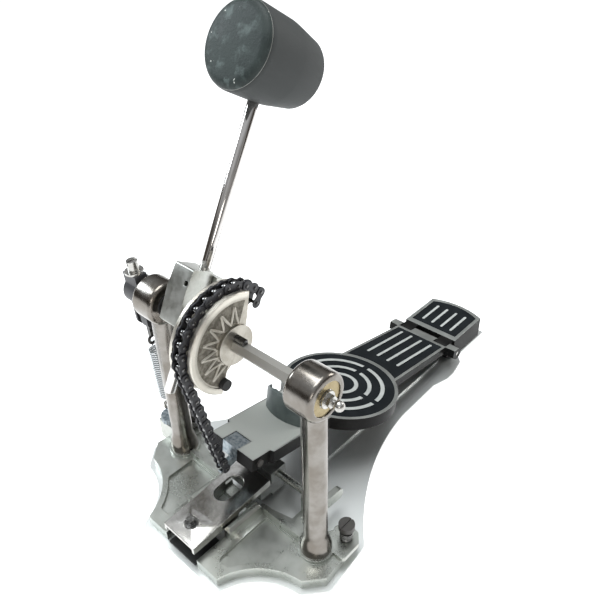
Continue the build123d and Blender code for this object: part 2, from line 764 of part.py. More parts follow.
def chain_connector():
    """Zinc block in the toe's notch, with a hook that holds the chain's last pin."""
    s, h = last_pin_on_board()
    x0 = notch_x - notch_w / 2 + 0.1
    x1 = notch_x + notch_w / 2 - 0.1
    body = block(x0, x1, 0.3, notch_len - 0.1, -board_t, -0.4)
    tongue_half_w = inner_half - 0.4
    hook = make_face(Polyline((notch_len - 4, -board_t + 2), (notch_len - 4, h + 1),
                              (s + 2, h - 3.2), (s - 3.4, h - 3.2),
                              (s - 3.4, h + 3.2), (1.5, h + 5.5), (1.5, -board_t + 2), close=True))
    hook = Pos(chain_x - tongue_half_w, 0, 0) * extrude(Plane.YZ * hook, amount=2 * tongue_half_w)
    body += hook
    slot = Pos(s, h) * SlotCenterToCenter(2 * open_pivot_play, pin_d + 2 * open_pivot_play)
    body -= Pos(chain_x - 10, 0, 0) * extrude(Plane.YZ * slot, amount=20)
    body -= Pos(x1, notch_len / 2, -board_t / 2) * Rot(0, 90, 0) * Cylinder(1.5, 12)
    return on_board(body)


def connector_screw():
    """Screw through the side of the toe into the connector."""
    y = notch_len / 2
    shank = rod_along_x(notch_x + notch_w / 2 - 4, toe_half + 0.5, 1.45, y, -board_t / 2)
    head = rod_along_x(toe_half + 0.1, toe_half + 1.6, 2.8, y, -board_t / 2)
    return on_board(shank + head)


# ---- heel ------------------------------------------------------------------
def heel_ear_places():
    """Places along the hinge taken by the heel block's ears."""
    return [(-27.0, -13.5), (13.5, 27.0)]


def heel_block():
    """Heel plate standing on the base plate, with two ears for the hinge pin."""
    front = hinge_y + knuckle_r + 2.5
    top = heel_z - heel_pad_t
    plan = bowed_plan(heel_half, front, heel_back)
    body = Pos(0, 0, plate_t) * extrude(plan, amount=heel_z - plate_t)
    pad = heel_pad_plan(front, 0.0)
    body -= Pos(0, 0, top) * extrude(pad, amount=10)
    hollow = (heel_half - 5, front + 5, heel_back - heel_bow - 5)
    body -= block(-hollow[0], hollow[0], hollow[1], hollow[2], plate_t - 1, top - 4)
    for x0, x1 in heel_ear_places():
        ear = block(x0, x1, hinge_y, front + 1, plate_t + 4, hinge_z + knuckle_r)
        ear += rod_along_x(x0, x1, knuckle_r, hinge_y, hinge_z)
        body += ear
    body -= rod_along_x(-50, 50, hinge_pin_d / 2, hinge_y, hinge_z)
    for x, y in heel_screw_places():
        body -= rod_up(x, y, 0, 12, 2.0)
    return body


def heel_pad_plan(front, inset):
    """Plan of the heel's tread."""
    return bowed_plan(heel_half - 3.5 - inset, front + 6 + inset, heel_back - 3.5 - inset)


def bowed_plan(half, front, back):
    """Plan with a straight front and sides and a bowed back."""
    corner = back - heel_bow
    arc = ThreePointArc((half, corner), (0, back), (-half, corner))
    line = Polyline((-half, corner), (-half, front), (half, front), (half, corner))
    return make_face([arc, line])


def heel_screw_places():
    """Screws up through the base plate into the heel block's walls."""
    front = hinge_y + knuckle_r + 2.5
    return [(-heel_half + 2.5 + 4, front + 2.8), (heel_half - 6.5, front + 2.8), (0, heel_back - 5)]


def heel_tread():
    """Tread with four raised stripes on the heel block."""
    front = hinge_y + knuckle_r + 2.5
    top = heel_z - heel_pad_t
    tread = Pos(0, 0, top) * extrude(heel_pad_plan(front, 0.1), amount=heel_pad_t - 0.3)
    for x in stripe_places(heel_half - 2):
        stripe = Pos(x, (front + heel_back - heel_bow) / 2 + 2) * SlotOverall(heel_stripe, 2.6, rotation=90)
        tread += Pos(0, 0, heel_z - 0.31) * extrude(stripe, amount=0.5)
    return tread


def heel_screws():
    """Short screws from below that hold the heel block."""
    return group([rod_up(x, y, plate_t + 0.1, 11, 1.95) for x, y in heel_screw_places()])


def hinge_pin():
    """Pin through the board's knuckles and the heel block's ears."""
    return rod_along_x(-hinge_half + 0.5, hinge_half - 0.5, hinge_pin_d / 2, hinge_y, hinge_z)


# ---- hoop clamp ------------------------------------------------------------
def clamp_top(y):
    """Height of the clamp plate's top at a place along it."""
    share = (y - clamp_front) / (clamp_back - clamp_front)
    return clamp_front_z + share * (clamp_back_z - clamp_front_z)


def hoop_clamp_plate():
    """Pressed plate that bites down on the hoop: raised front, skirts and pivot tabs."""
    y0, y1 = clamp_front, clamp_back
    top = [(y0, clamp_top(y0)), (y1, clamp_top(y1))]
    under = [(y1, clamp_top(y1) - clamp_t), (y0, clamp_top(y0) - clamp_t)]
    body = side_plate(top + under, -clamp_half, clamp_half)
    tab_low = clamp_pivot_z - 4
    front_low = clamp_top(y0) - clamp_skirt
    skirt = [(y0, clamp_top(y0)), (y1, clamp_top(y1)), (y1, clamp_top(y1) - clamp_skirt),
             (clamp_pivot_y + 8, clamp_top(0) - clamp_skirt), (clamp_pivot_y + 4, tab_low),
             (clamp_pivot_y - 4, tab_low), (clamp_pivot_y - 7, front_low), (y0, front_low)]
    for side in (-1, 1):
        x = side * (clamp_half - clamp_t / 2)
        body += side_plate(skirt, x - clamp_t / 2, x + clamp_t / 2)
    tilt = degrees(atan2(clamp_back_z - clamp_front_z, clamp_back - clamp_front))
    middle = clamp_bolt_y()
    base = Plane(origin=(0, middle, clamp_top(middle) - 0.05)) * Rot(tilt, 0, 0)
    pyramid = extrude(base * Rectangle(2 * clamp_half - 2, pyramid_len - 1.5), amount=pyramid_h, taper=72)
    body += pyramid
    body -= rod_along_x(-50, 50, clamp_pin_d / 2 + fit, clamp_pivot_y, clamp_pivot_z)
    body -= rod_up(0, clamp_bolt_y(), 0, 40, 3.0)
    body -= rod_up(0, clamp_bolt_y(), clamp_top(clamp_bolt_y()) + 0.9, 40, 5.4)
    slot = Pos(chain_x, -13) * SlotOverall(26, 15, rotation=90)
    body -= Pos(0, 0, 5) * extrude(slot, amount=40)
    return body


def clamp_bolt_y():
    """Place of the clamp's bolt, in the middle of the raised front."""
    return clamp_front + pyramid_len / 2


def clamp_bolt():
    """Square-head bolt in the middle of the raised front, with its washer."""
    z = clamp_top(clamp_bolt_y())
    bolt = rod_up(0, clamp_bolt_y(), z - clamp_t - 4, z + 1, 2.9)
    bolt += rod_up(0, clamp_bolt_y(), z + 0.95, z + 2.2, 5.0)
    return bolt + Pos(0, clamp_bolt_y(), z + 4.6) * Box(5.2, 5.2, 5.0)


def clamp_jaw_pad():
    """Rubber pad under the clamp plate's front, held by the bolt."""
    z = clamp_top(clamp_bolt_y()) - clamp_t
    half = clamp_half - clamp_t - 0.6
    pad = block(-half, half, clamp_front + 1.5, clamp_front + pyramid_len, z - 4, z - 0.8)
    return pad - rod_up(0, clamp_bolt_y(), 0, 40, 2.9)


def lower_jaw_pad():
    """Rubber strip on the base plate under the hoop."""
    half = clamp_half - 2
    return block(-half, half, plate_front + 4, clamp_front + pyramid_len, plate_t, plate_t + 2)


def clamp_pin():
    """Pin that the clamp plate rocks on."""
    half = clamp_half + wall_gap + wall_t
    return rod_along_x(-half, half, clamp_pin_d / 2, clamp_pivot_y, clamp_pivot_z)


def clamp_wedge():
    """Sliding block that lifts the rear of the clamp plate when it is drawn along X."""
    top = clamp_top(clamp_back) - clamp_skirt - 1.0
    low = plate_t + 6.5
    ramp = Plane.XZ * make_face(Polyline((-20, low), (14, low), (14, top - 3), (-20, top), close=True))
    body = Pos(0, 11, 0) * extrude(ramp, amount=7)
    body += block(-6, 14, 10, wing_y + 8, low, top - 2.5)
    body += block(-6, 14, wing_y - 8, wing_y + 8, plate_t + 3.0, wing_z + wedge_over)
    return body - rod_along_x(-30, 30, wing_shaft_d / 2 + 0.15, wing_y, wing_z)


def wing_screw():
    """Screw along X with a flat two-ended handle."""
    shaft = rod_along_x(-2, wing_x, wing_shaft_d / 2, wing_y, wing_z)
    hub = rod_along_x(wing_x - 4.4, wing_x + wing_t, 6.0, wing_y, wing_z)
    plan = Plane.YZ * Pos(wing_y, wing_z) * Rot(0, 0, -6) * SlotOverall(2 * wing_r, wing_h)
    return shaft + hub + Pos(wing_x, 0, 0) * extrude(plan, amount=wing_t)


# ---- spurs and spring ------------------------------------------------------
def spur_screw(side):
    """Pointed screw in the corner pad, with a round slotted head."""
    x = side * spur_x
    shank = rod_up(x, spur_y, 4, spur_head_z, spur_d / 2)
    point = Pos(x, spur_y, 2.2) * Cone(0.5, spur_d / 2, 3.6)
    head = Pos(x, spur_y, spur_head_z) * Cylinder(spur_head_d / 2, 4.5)
    head += Pos(x, spur_y, spur_head_z - 3.6) * Cone(spur_d / 2 + 0.5, spur_head_d / 2 - 0.4, 3.2)
    head -= Pos(x, spur_y, spur_head_z + 2.2) * Box(1.4, spur_head_d + 2, 1.6)
    return shank + point + head


def coil(x, y, z0, z1, outer_d, wire, turns):
    """Closed-coil spring drawn as a stack of rounded turns."""
    r = outer_d / 2 - wire / 2
    rise = (z1 - z0) / turns
    points = [(r - wire * 0.35, z0)]
    for i in range(turns):
        z = z0 + rise * i
        points += [(r + wire * 0.25, z), (r + wire / 2, z + rise / 2), (r + wire * 0.25, z + rise * 0.98)]
    points += [(r - wire * 0.35, z1)]
    return Pos(x, y, 0) * revolve(Plane.XZ * make_face(Polyline(*points, close=True)), axis=Axis.Z)


def spur_spring(side):
    """Small spring between the pad and the head of the spur screw."""
    return coil(side * spur_x, spur_y, pad_top + 0.2, spur_head_z - 5.4, 10.0, 1.5, 5)


def spring_y(z):
    """Spring's centre line, straight from the axle to its anchor."""
    return anchor_y * (axle_height - z) / (axle_height - anchor_z)


def rocker():
    """Arm clamped on the axle's left end; the hanger swings from its lower end."""
    x1 = -housing_out - 1.5
    x0 = x1 - rocker_w
    arm = rod_along_x(x0, x1, 11.5) + block(x0, x1, -7, 7, -rocker_arm, 0)
    arm += rod_along_x(x0, x1, 7, 0, -rocker_arm)
    arm += block(x0, x1, -8, 2, 0, 17)
    arm -= rod_along_x(x0 - 1, x1 + 1, bearing_bore / 2 + 0.01)
    arm -= rod_along_x(x0 - 1, x1 + 1, 2.5 + fit, 0, -rocker_arm)
    gap = 2 * hanger_half + 1.0
    arm -= block(spring_x - gap / 2, spring_x + gap / 2, -12, 12, -rocker_arm - 9, -rocker_arm + 9)
    arm -= rod_up((x0 + x1) / 2, -3, 4.6, 30, 2.5)
    return on_axle(Rot(rocker_tilt(), 0, 0) * arm)


def rocker_tilt():
    """Turn that points the rocker at the spring's anchor."""
    return degrees(atan2(anchor_y, axle_height - anchor_z))


def rocker_screw():
    """Slotted screw with a flange that locks the rocker on the axle."""
    x = -housing_out - 1.5 - rocker_w / 2
    screw = rod_up(x, -3, 4.8, 19, 2.4) + rod_up(x, -3, 17.1, 18.7, 7.0) + rod_up(x, -3, 18.6, 27, 4.2)
    screw -= Pos(x, -3, 26) * Box(1.4, 12, 4)
    return on_axle(Rot(rocker_tilt(), 0, 0) * screw)


def rocker_pin():
    """Pin that the hanger swings on."""
    x1 = -housing_out - 1.5
    pin = rod_along_x(x1 - rocker_w, x1, 2.5, 0, -rocker_arm)
    return on_axle(Rot(rocker_tilt(), 0, 0) * pin)


def in_spring_frame(shape):
    """Lean a shape drawn below the axle along the spring's line."""
    return on_axle(Rot(rocker_tilt(), 0, 0) * shape)


def hanger():
    """Swinging link whose lower hook holds the spring."""
    drop = axle_height - spring_high
    eye = rod_along_x(spring_x - hanger_half, spring_x + hanger_half, 5.5, 0, -rocker_arm)
    stem = block(spring_x - hanger_half, spring_x + hanger_half, -2, 2, -drop + 5, -rocker_arm)
    ring = Rot(0, 90, 0) * Torus(3.6, 1.2)
    stem += Pos(spring_x, 0, -drop + 1.6) * ring
    eye += stem
    return in_spring_frame(eye - rod_along_x(-150, 0, 2.5 + fit, 0, -rocker_arm))


def extension_spring():
    """Return spring with an end loop above and below."""
    top = axle_height - spring_high
    low = axle_height - spring_low
    body = coil(spring_x, 0, -low + 6, -top - 6, spring_d, spring_wire, 30)
    for z, inward in ((-top - 3.4, -3.4), (-low + 3.4, 3.4)):
        loop = Pos(spring_x, 0, z) * Rot(90, 0, 0) * Torus(3.6, spring_wire / 2)
        body += loop
        body += Pos(spring_x, 0, z + inward) * Cylinder(spring_d / 2 - 0.4, 2.0)
    return in_spring_frame(body)


def eyebolt():
    """Threaded hook that the spring pulls on; the wheel nut sets its height."""
    eye_z = spring_low - 2.0
    stem = rod_up(spring_x, anchor_y, 7, eye_z - 3.8, 2.5)
    return stem + Pos(spring_x, spring_y(eye_z), eye_z) * Rot(0, 90, 0) * Torus(4.2, 1.4)


def wheel_nut():
    """Knurled wheel nut on the eyebolt, resting on the lug."""
    wheel = rod_up(spring_x, anchor_y, 25.1, 30, 9.0) - rod_up(spring_x, anchor_y, 20, 40, 2.5 + fit)
    for i in range(18):
        a = 2 * pi * i / 18
        wheel -= rod_up(spring_x + 9.3 * cos(a), anchor_y + 9.3 * sin(a), 24, 31, 0.8)
    return wheel


# ---- write the parts -------------------------------------------------------
os.makedirs("parts", exist_ok=True)

save("base_plate", base_plate())
save("plate_screws", plate_screws())
save("base_casting_right", cast_right())
save("base_casting_left", cast_left())
save("clamp_bridge", clamp_bridge())
save("upright_right", upright())
save("upright_left", mirrored(upright()))
save("upright_screws", upright_screws())
for name, side in (("right", 1), ("left", -1)):
    save("spur_screw_" + name, spur_screw(side))
    save("spur_spring_" + name, spur_spring(side))
for name, right, left in zip(("outer_rings", "inner_rings", "balls", "seals"), bearing(1), bearing(-1)):
    save("bearing_" + name, group(right + left))
save("axle", axle())
save("axle_nipple", axle_nipple())
save("cam", cam())
save("cam_bumper", cam_bumper())
save("cam_key", cam_key())
save("cam_chain", cam_chain())
for name, i in (("a", 2), ("b", 1), ("c", 0)):
    save("chain_link_" + name, free_link(i))
save("chain_run", chain_run())
save("beater_hub", beater_hub())
save("beater_clamp", beater_clamp())
save("rod_clamp_screw", rod_clamp_screw())
save("beater_rod", beater_rod())
save("beater_body", beater_body())
save("beater_seam", beater_seam())
save("beater_cap", beater_cap())
save("beater_screw", beater_screw())
save("footboard", footboard())
save("toe_deck", toe_deck())
save("disc_tread", disc_tread())
save("panel_tread", panel_tread())
save("toe_stop", toe_stop())
save("toe_stop_screws", toe_stop_screws())
save("chain_connector", chain_connector())
save("connector_screw", connector_screw())
save("hinge_pin", hinge_pin())
save("heel_block", heel_block())
save("heel_tread", heel_tread())
save("heel_screws", heel_screws())
save("hoop_clamp_plate", hoop_clamp_plate())
save("clamp_bolt", clamp_bolt())
save("clamp_jaw_pad", clamp_jaw_pad())
save("lower_jaw_pad", lower_jaw_pad())
save("clamp_pin", clamp_pin())
save("clamp_wedge", clamp_wedge())
save("wing_screw", wing_screw())
save("rocker", rocker())
save("rocker_screw", rocker_screw())
save("rocker_pin", rocker_pin())
save("spring_hanger", hanger())
save("extension_spring", extension_spring())
save("eyebolt", eyebolt())
save("wheel_nut", wheel_nut())
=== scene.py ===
"""Looks of a chain-drive bass drum pedal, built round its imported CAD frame."""
import logging
import math
from dataclasses import dataclass, field
from enum import Enum
from typing import Any, Callable, Sequence

import bmesh
import bpy
from mathutils import Matrix, Vector


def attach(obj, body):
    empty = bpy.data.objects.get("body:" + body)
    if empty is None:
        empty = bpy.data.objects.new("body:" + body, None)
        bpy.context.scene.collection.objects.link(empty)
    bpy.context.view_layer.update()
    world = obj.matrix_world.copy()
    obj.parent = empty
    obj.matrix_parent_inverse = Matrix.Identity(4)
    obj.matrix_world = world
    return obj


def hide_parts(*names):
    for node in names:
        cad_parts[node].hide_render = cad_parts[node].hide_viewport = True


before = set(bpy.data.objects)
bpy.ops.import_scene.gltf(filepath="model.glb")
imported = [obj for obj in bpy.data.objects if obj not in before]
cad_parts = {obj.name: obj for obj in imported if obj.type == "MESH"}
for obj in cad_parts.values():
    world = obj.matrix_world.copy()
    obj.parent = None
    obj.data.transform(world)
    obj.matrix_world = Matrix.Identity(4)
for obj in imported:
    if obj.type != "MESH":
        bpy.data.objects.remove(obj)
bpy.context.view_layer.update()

MM = 0.001
LOG = logging.getLogger("pedal")

Colour = tuple[float, float, float]
Point = tuple[float, float, float]


# ---- shaders ---------------------------------------------------------------------------
class Value:
    """A shader socket that can stand in Python expressions."""

    def __init__(self, graph: "Graph", socket: bpy.types.NodeSocket) -> None:
        """Wrap one output socket.

        Args:
            graph: the material's graph.
            socket: the output to wrap.
        """
        self.graph = graph
        self.socket = socket

    def maths(self, operation: str, first: Any, second: Any) -> "Value":
        """Add one Math node.

        Args:
            operation: the node's operation.
            first: left value or socket.
            second: right value or socket.

        Returns:
            The node's result.
        """
        return self.graph.node("ShaderNodeMath", {"operation": operation}, {0: first, 1: second}).out(0)

    def __add__(self, other: Any) -> "Value":
        """Sum."""
        return self.maths("ADD", self, other)

    def __radd__(self, other: Any) -> "Value":
        """Sum, with the number first."""
        return self.maths("ADD", other, self)

    def __sub__(self, other: Any) -> "Value":
        """Difference."""
        return self.maths("SUBTRACT", self, other)

    def __rsub__(self, other: Any) -> "Value":
        """Difference, with the number first."""
        return self.maths("SUBTRACT", other, self)

    def __mul__(self, other: Any) -> "Value":
        """Product."""
        return self.maths("MULTIPLY", self, other)

    def __rmul__(self, other: Any) -> "Value":
        """Product, with the number first."""
        return self.maths("MULTIPLY", other, self)

    def between(self, low: float, high: float) -> "Value":
        """Smooth step from 0 at low to 1 at high.

        Args:
            low: value that gives 0.
            high: value that gives 1.

        Returns:
            The stepped value.
        """
        inputs = {0: self, 1: low, 2: high}
        return self.graph.node("ShaderNodeMapRange", {"interpolation_type": "SMOOTHSTEP"}, inputs).out(0)


class Step:
    """A node that has been added to a graph."""

    def __init__(self, graph: "Graph", node: bpy.types.Node) -> None:
        """Keep the node and its graph.

        Args:
            graph: the graph it is in.
            node: the node.
        """
        self.graph = graph
        self.node = node

    def out(self, key: int | str) -> Value:
        """One of the node's outputs."""
        return Value(self.graph, self.node.outputs[key])


class Graph:
    """Node tree of one material."""

    def __init__(self, tree: bpy.types.NodeTree) -> None:
        """Start from an empty tree.

        Args:
            tree: the tree to fill.
        """
        self.tree = tree
        tree.nodes.clear()

    def node(self, kind: str, settings: dict | None = None, inputs: dict | None = None) -> Step:
        """Add a node.

        Args:
            kind: the node's type.
            settings: its own settings, such as a Math node's operation; "stops" fills a ramp.
            inputs: values or links of its sockets, by number or name.

        Returns:
            The new node.
        """
        node = self.tree.nodes.new(kind)
        for key, value in (settings or {}).items():
            if key == "stops":
                self.fill_ramp(node.color_ramp, value)
            else:
                setattr(node, key, value)
        for key, value in (inputs or {}).items():
            if isinstance(value, Value):
                self.tree.links.new(value.socket, node.inputs[key])
            else:
                node.inputs[key].default_value = value
        return Step(self, node)

    @staticmethod
    def fill_ramp(ramp: bpy.types.ColorRamp, stops: Sequence[tuple[float, Colour]]) -> None:
        """Set a ramp's stops.

        Args:
            ramp: the ramp.
            stops: places and colours, in order; there are two or more.
        """
        while len(ramp.elements) < len(stops):
            ramp.elements.new(1.0)
        for element, (place, colour) in zip(ramp.elements, stops):
            element.position = place
            element.color = (*colour, 1.0)

    def mix(self, share: Any, first: Any, second: Any) -> Value:
        """Mix two colours.

        Args:
            share: 0 for the first, 1 for the second.
            first: colour or socket.
            second: colour or socket.

        Returns:
            The mixed colour.
        """
        colours = [c if isinstance(c, Value) else (*c, 1.0) for c in (first, second)]
        inputs = {0: share, 6: colours[0], 7: colours[1]}
        return self.node("ShaderNodeMix", {"data_type": "RGBA"}, inputs).out(2)

    def noise(self, place: Value, size: float, detail: float = 3.0) -> Value:
        """Noise from 0 to 1.

        Args:
            place: coordinates in metres.
            size: size of one patch in millimetres.
            detail: octaves.

        Returns:
            The noise.
        """
        inputs = {"Vector": place, "Scale": 1.0 / (size * MM), "Detail": detail, "Roughness": 0.6}
        return self.node("ShaderNodeTexNoise", None, inputs).out(0)


@dataclass(frozen=True)
class Spot:
    """What a finish's colour depends on at a point of the surface."""

    graph: Graph
    place: Value
    patches: Value
    edges: Value


@dataclass(frozen=True)
class Finish:
    """A surface finish: its colours, how it shines, its grain and how its edges are rubbed."""

    name: str
    colour: Colour
    worn: Colour
    metallic: float = 1.0
    rough: tuple[float, float] = (0.2, 0.4)
    patch: float = 14.0
    patch_mix: float = 0.35
    grain: Point = (1.0, 1.0, 1.0)
    grain_size: float = 0.5
    relief: float = 0.006
    dents: float = 0.0
    edge: float = 0.3
    rub: float = 0.5
    coat: float = 0.0
    tilt: float = 0.0
    gloss: float = 0.5
    glow: float = 0.0

    def tint(self, spot: Spot) -> Value:
        """Base colour over the surface.

        Args:
            spot: the graph, object coordinates, soft noise and rubbed edges.

        Returns:
            The colour.
        """
        cloudy = spot.graph.mix(spot.patches * self.patch_mix, self.colour, self.worn)
        return spot.graph.mix(spot.edges * self.rub, cloudy, self.worn)

    def material(self) -> bpy.types.Material:
        """The Blender material of this finish, made once.

        Returns:
            The material.
        """
        made = bpy.data.materials.get(self.name)
        if made is not None:
            return made
        made = bpy.data.materials.new(self.name)
        made.use_nodes = True
        graph = Graph(made.node_tree)
        place = graph.node("ShaderNodeTexCoord").out("Object")
        drawn = {"Vector": place, "Rotation": (math.radians(self.tilt), 0.0, 0.0)}
        turned = graph.node("ShaderNodeMapping", None, drawn).out(0)
        along = [1 / g for g in self.grain]
        stretched = graph.node("ShaderNodeMapping", None, {"Vector": turned, "Scale": along}).out(0)
        patches = graph.noise(place, self.patch).between(0.35, 0.68)
        grain = graph.noise(stretched, self.grain_size, 4.0)
        speckle = graph.noise(place, self.patch / 9, 2.0).between(0.4, 0.75)
        rounded = graph.node("ShaderNodeBevel", {"samples": 4}, {"Radius": self.edge * MM}).out(0)
        true = graph.node("ShaderNodeNewGeometry").out("Normal")
        dot = {"operation": "DOT_PRODUCT"}
        same = graph.node("ShaderNodeVectorMath", dot, {0: rounded, 1: true}).out("Value")
        edges = (1.0 - same).between(0.01, 0.2) * (0.4 + 0.6 * speckle)
        low, high = self.rough
        rough = low + (high - low) * (0.45 * patches + 0.35 * grain + 0.2 * speckle)
        height = grain * self.relief + speckle * self.dents
        bump = graph.node("ShaderNodeBump", None, {
            "Height": height, "Strength": 1.0, "Distance": MM, "Normal": rounded})
        surface = graph.node("ShaderNodeBsdfPrincipled", None, {
            "Base Color": self.tint(Spot(graph, place, patches, edges)), "Metallic": self.metallic,
            "Roughness": rough, "Normal": bump.out(0), "Coat Weight": self.coat, "Coat Roughness": 0.12,
            "Specular IOR Level": self.gloss, "Emission Color": (1.0, 1.0, 1.0, 1.0),
            "Emission Strength": self.glow})
        graph.node("ShaderNodeOutputMaterial", None, {"Surface": surface.out(0)})
        return made


@dataclass(frozen=True)
class CamFinish(Finish):
    """Blasted casting with a painted highlight: a bright band round its flanges' edges."""

    centre_z: float = 162.3
    band: float = 31.5
    fade: float = 2.5
    # share of the painted highlight band
    highlight_share: float = 0.6

    def tint(self, spot: Spot) -> Value:
        """Casting colour with the painted highlight band near the flanges' edges.

        Args:
            spot: the graph, object coordinates, soft noise and rubbed edges.

        Returns:
            The colour.
        """
        graph = spot.graph
        centre = (0.0, 0.0, self.centre_z * MM)
        less = {"operation": "SUBTRACT"}
        centred = graph.node("ShaderNodeVectorMath", less, {0: spot.place, 1: centre}).out(0)
        times = {"operation": "MULTIPLY"}
        flat = graph.node("ShaderNodeVectorMath", times, {0: centred, 1: (0.0, 1.0, 1.0)}).out(0)
        radius = graph.node("ShaderNodeVectorMath", {"operation": "LENGTH"}, {0: flat}).out("Value")
        # rim: painted highlight, a bright band on the flanges' edges, mixed toward the worn colour
        rim = radius.between(self.band * MM, (self.band + self.fade) * MM)
        plain = super().tint(spot)
        return graph.mix(rim * self.highlight_share, plain, self.worn)


@dataclass(frozen=True)
class ScuffedFinish(Finish):
    """Hard plastic struck many times: pale clouding, dark pits and thin scratches."""

    cloud: Colour = (0.13, 0.165, 0.16)
    pit: Colour = (0.02, 0.025, 0.025)
    scratch: Colour = (0.75, 0.78, 0.74)

    def tint(self, spot: Spot) -> Value:
        """Clouded and pitted colour.

        Args:
            spot: the graph, object coordinates, soft noise and rubbed edges.

        Returns:
            The colour.
        """
        graph, place = spot.graph, spot.place
        plain = super().tint(spot)
        clouded = graph.mix(graph.noise(place, 9.0, 6.0).between(0.5, 0.72) * 0.55, plain, self.cloud)
        fine = graph.noise(place, 2.2, 2.0).between(0.66, 0.72)
        pits = fine * graph.noise(place, 16.0, 1.0).between(0.48, 0.6)
        marks = graph.noise(place, 3.4, 1.0).between(0.74, 0.77)
        return graph.mix(marks * 0.8, graph.mix(pits, clouded, self.pit), self.scratch)


@dataclass(frozen=True)
class BandedFinish(Finish):
    """Gloss black with a plain pale-blue band across one face."""

    band_low: float = 168.5
    band_high: float = 175.5
    fade: float = 0.4
    cover: float = 0.9
    blue: Colour = (0.04, 0.30, 0.62)

    def tint(self, spot: Spot) -> Value:
        """Black with the blue band between two heights.

        Args:
            spot: the graph, object coordinates, soft noise and rubbed edges.

        Returns:
            The colour.
        """
        height = spot.graph.node("ShaderNodeSeparateXYZ", None, {0: spot.place}).out("Z")
        above = height.between(self.band_low * MM, (self.band_low + self.fade) * MM)
        below = 1.0 - height.between((self.band_high - self.fade) * MM, self.band_high * MM)
        plain = super().tint(spot)
        return spot.graph.mix(above * below * self.cover, plain, self.blue)


LEAN = 28.7     # the beater rod's lean from upright at rest, in degrees
PITCH = 10.1    # the footboard's slope at rest, in degrees

SHEET = Finish("satin_sheet", (0.36, 0.39, 0.355), (0.54, 0.57, 0.53), 0.8, rough=(0.28, 0.48),
    patch=40.0, grain=(1, 30, 1), grain_size=0.35, relief=0.003, edge=0.5, rub=0.7)
CAST = Finish("polished_casting", (0.42, 0.435, 0.40), (0.74, 0.75, 0.73), rough=(0.24, 0.38),
    patch=16.0, patch_mix=0.2, relief=0.002, dents=0.002, edge=0.5, rub=0.6)
POST = Finish("polished_upright", (0.175, 0.158, 0.138), (0.60, 0.60, 0.59), rough=(0.15, 0.28),
    patch=20.0, patch_mix=0.2, grain=(1, 1, 40), grain_size=0.5, relief=0.004, dents=0.008, edge=0.9,
    rub=0.7)
BOLT = Finish("dark_steel", (0.17, 0.17, 0.165), (0.55, 0.55, 0.54), rough=(0.16, 0.34), patch=3.0,
    edge=0.3, rub=0.9)
STEEL = Finish("bright_steel", (0.42, 0.41, 0.39), (0.74, 0.74, 0.72), rough=(0.16, 0.36), patch=4.0)
BEARING = Finish("bearing_steel", (0.45, 0.44, 0.42), (0.74, 0.74, 0.72), rough=(0.1, 0.22), patch=5.0)
BRASS = Finish("shield_brass", (0.24, 0.19, 0.10), (0.46, 0.39, 0.24), rough=(0.2, 0.4), patch=5.0,
    relief=0.01)
AXLE = Finish("axle_steel", (0.27, 0.25, 0.22), (0.50, 0.47, 0.42), rough=(0.26, 0.46), patch=18.0,
    grain=(40, 1, 1), grain_size=0.3, relief=0.008, edge=0.35)
# the cam's finish paints a highlight band round its flanges
CAM = CamFinish("cam_casting", (0.32, 0.30, 0.26), (0.74, 0.71, 0.64), rough=(0.24, 0.48), patch=8.0,
    patch_mix=0.3, relief=0.025, dents=0.05, edge=0.5, rub=0.95)
CAM_FLOOR = Finish("cam_floor", (0.10, 0.09, 0.072), (0.30, 0.28, 0.235), 0.7, (0.5, 0.7), patch=4.0,
    patch_mix=0.7, relief=0.05, dents=0.06, edge=0.2, rub=0.3)
RUBBER = Finish("black_rubber", (0.012, 0.012, 0.012), (0.05, 0.05, 0.05), 0.0, (0.5, 0.75), relief=0.02,
    gloss=0.35)
CHAIN = Finish("chain_black", (0.004, 0.004, 0.0042), (0.05, 0.05, 0.05), 0.0, (0.2, 0.4), patch=3.0,
    edge=0.18, rub=0.22, gloss=0.45)
ROLLER = Finish("roller_steel", (0.10, 0.10, 0.10), (0.70, 0.70, 0.69), rough=(0.10, 0.26), patch=2.5,
    edge=0.15)
PINS = Finish("pin_steel", (0.05, 0.05, 0.05), (0.35, 0.35, 0.35), rough=(0.14, 0.3), patch=2.5,
    edge=0.2)
HUB = Finish("brushed_aluminium", (0.40, 0.41, 0.38), (0.76, 0.77, 0.75), rough=(0.24, 0.42), patch=12.0,
    grain=(1, 1, 60), grain_size=0.28, relief=0.016, edge=0.35, rub=0.8, tilt=-LEAN)
CHROME = Finish("polished_chrome", (0.62, 0.60, 0.585), (0.44, 0.42, 0.39), rough=(0.03, 0.12),
    patch=9.0, patch_mix=0.3, relief=0.001, edge=0.3, rub=0.1)
BEATER = Finish("beater_black", (0.0055, 0.006, 0.005), (0.018, 0.019, 0.016), 0.0, (0.42, 0.6),
    patch=26.0, relief=0.012, dents=0.012, edge=0.6, rub=0.3, gloss=0.07)
CAP = ScuffedFinish("beater_cap_grey", (0.026, 0.034, 0.033), (0.055, 0.07, 0.067), 0.0, (0.36, 0.6),
    patch=14.0, relief=0.012, dents=0.05, edge=0.8, rub=0.25, gloss=0.16)
SEAM = Finish("beater_seam", (0.16, 0.165, 0.155), (0.32, 0.33, 0.31), 0.0, (0.3, 0.5))
PAINT = Finish("black_paint", (0.005, 0.005, 0.005), (0.05, 0.045, 0.04), 0.0, (0.32, 0.5), patch=18.0,
    patch_mix=0.12, grain_size=0.9, relief=0.02, edge=0.3, rub=0.35, gloss=0.09)
BARE = Finish("machined_top", (0.33, 0.345, 0.33), (0.64, 0.66, 0.64), 0.85, (0.30, 0.46), patch=30.0,
    grain=(30, 1, 1), grain_size=0.25, relief=0.004, edge=0.3, rub=0.8)
DECK = Finish("deck_grey", (0.125, 0.132, 0.112), (0.22, 0.23, 0.20), 0.35, (0.38, 0.52), patch=24.0,
    patch_mix=0.5, grain_size=0.35, relief=0.012, edge=0.3)
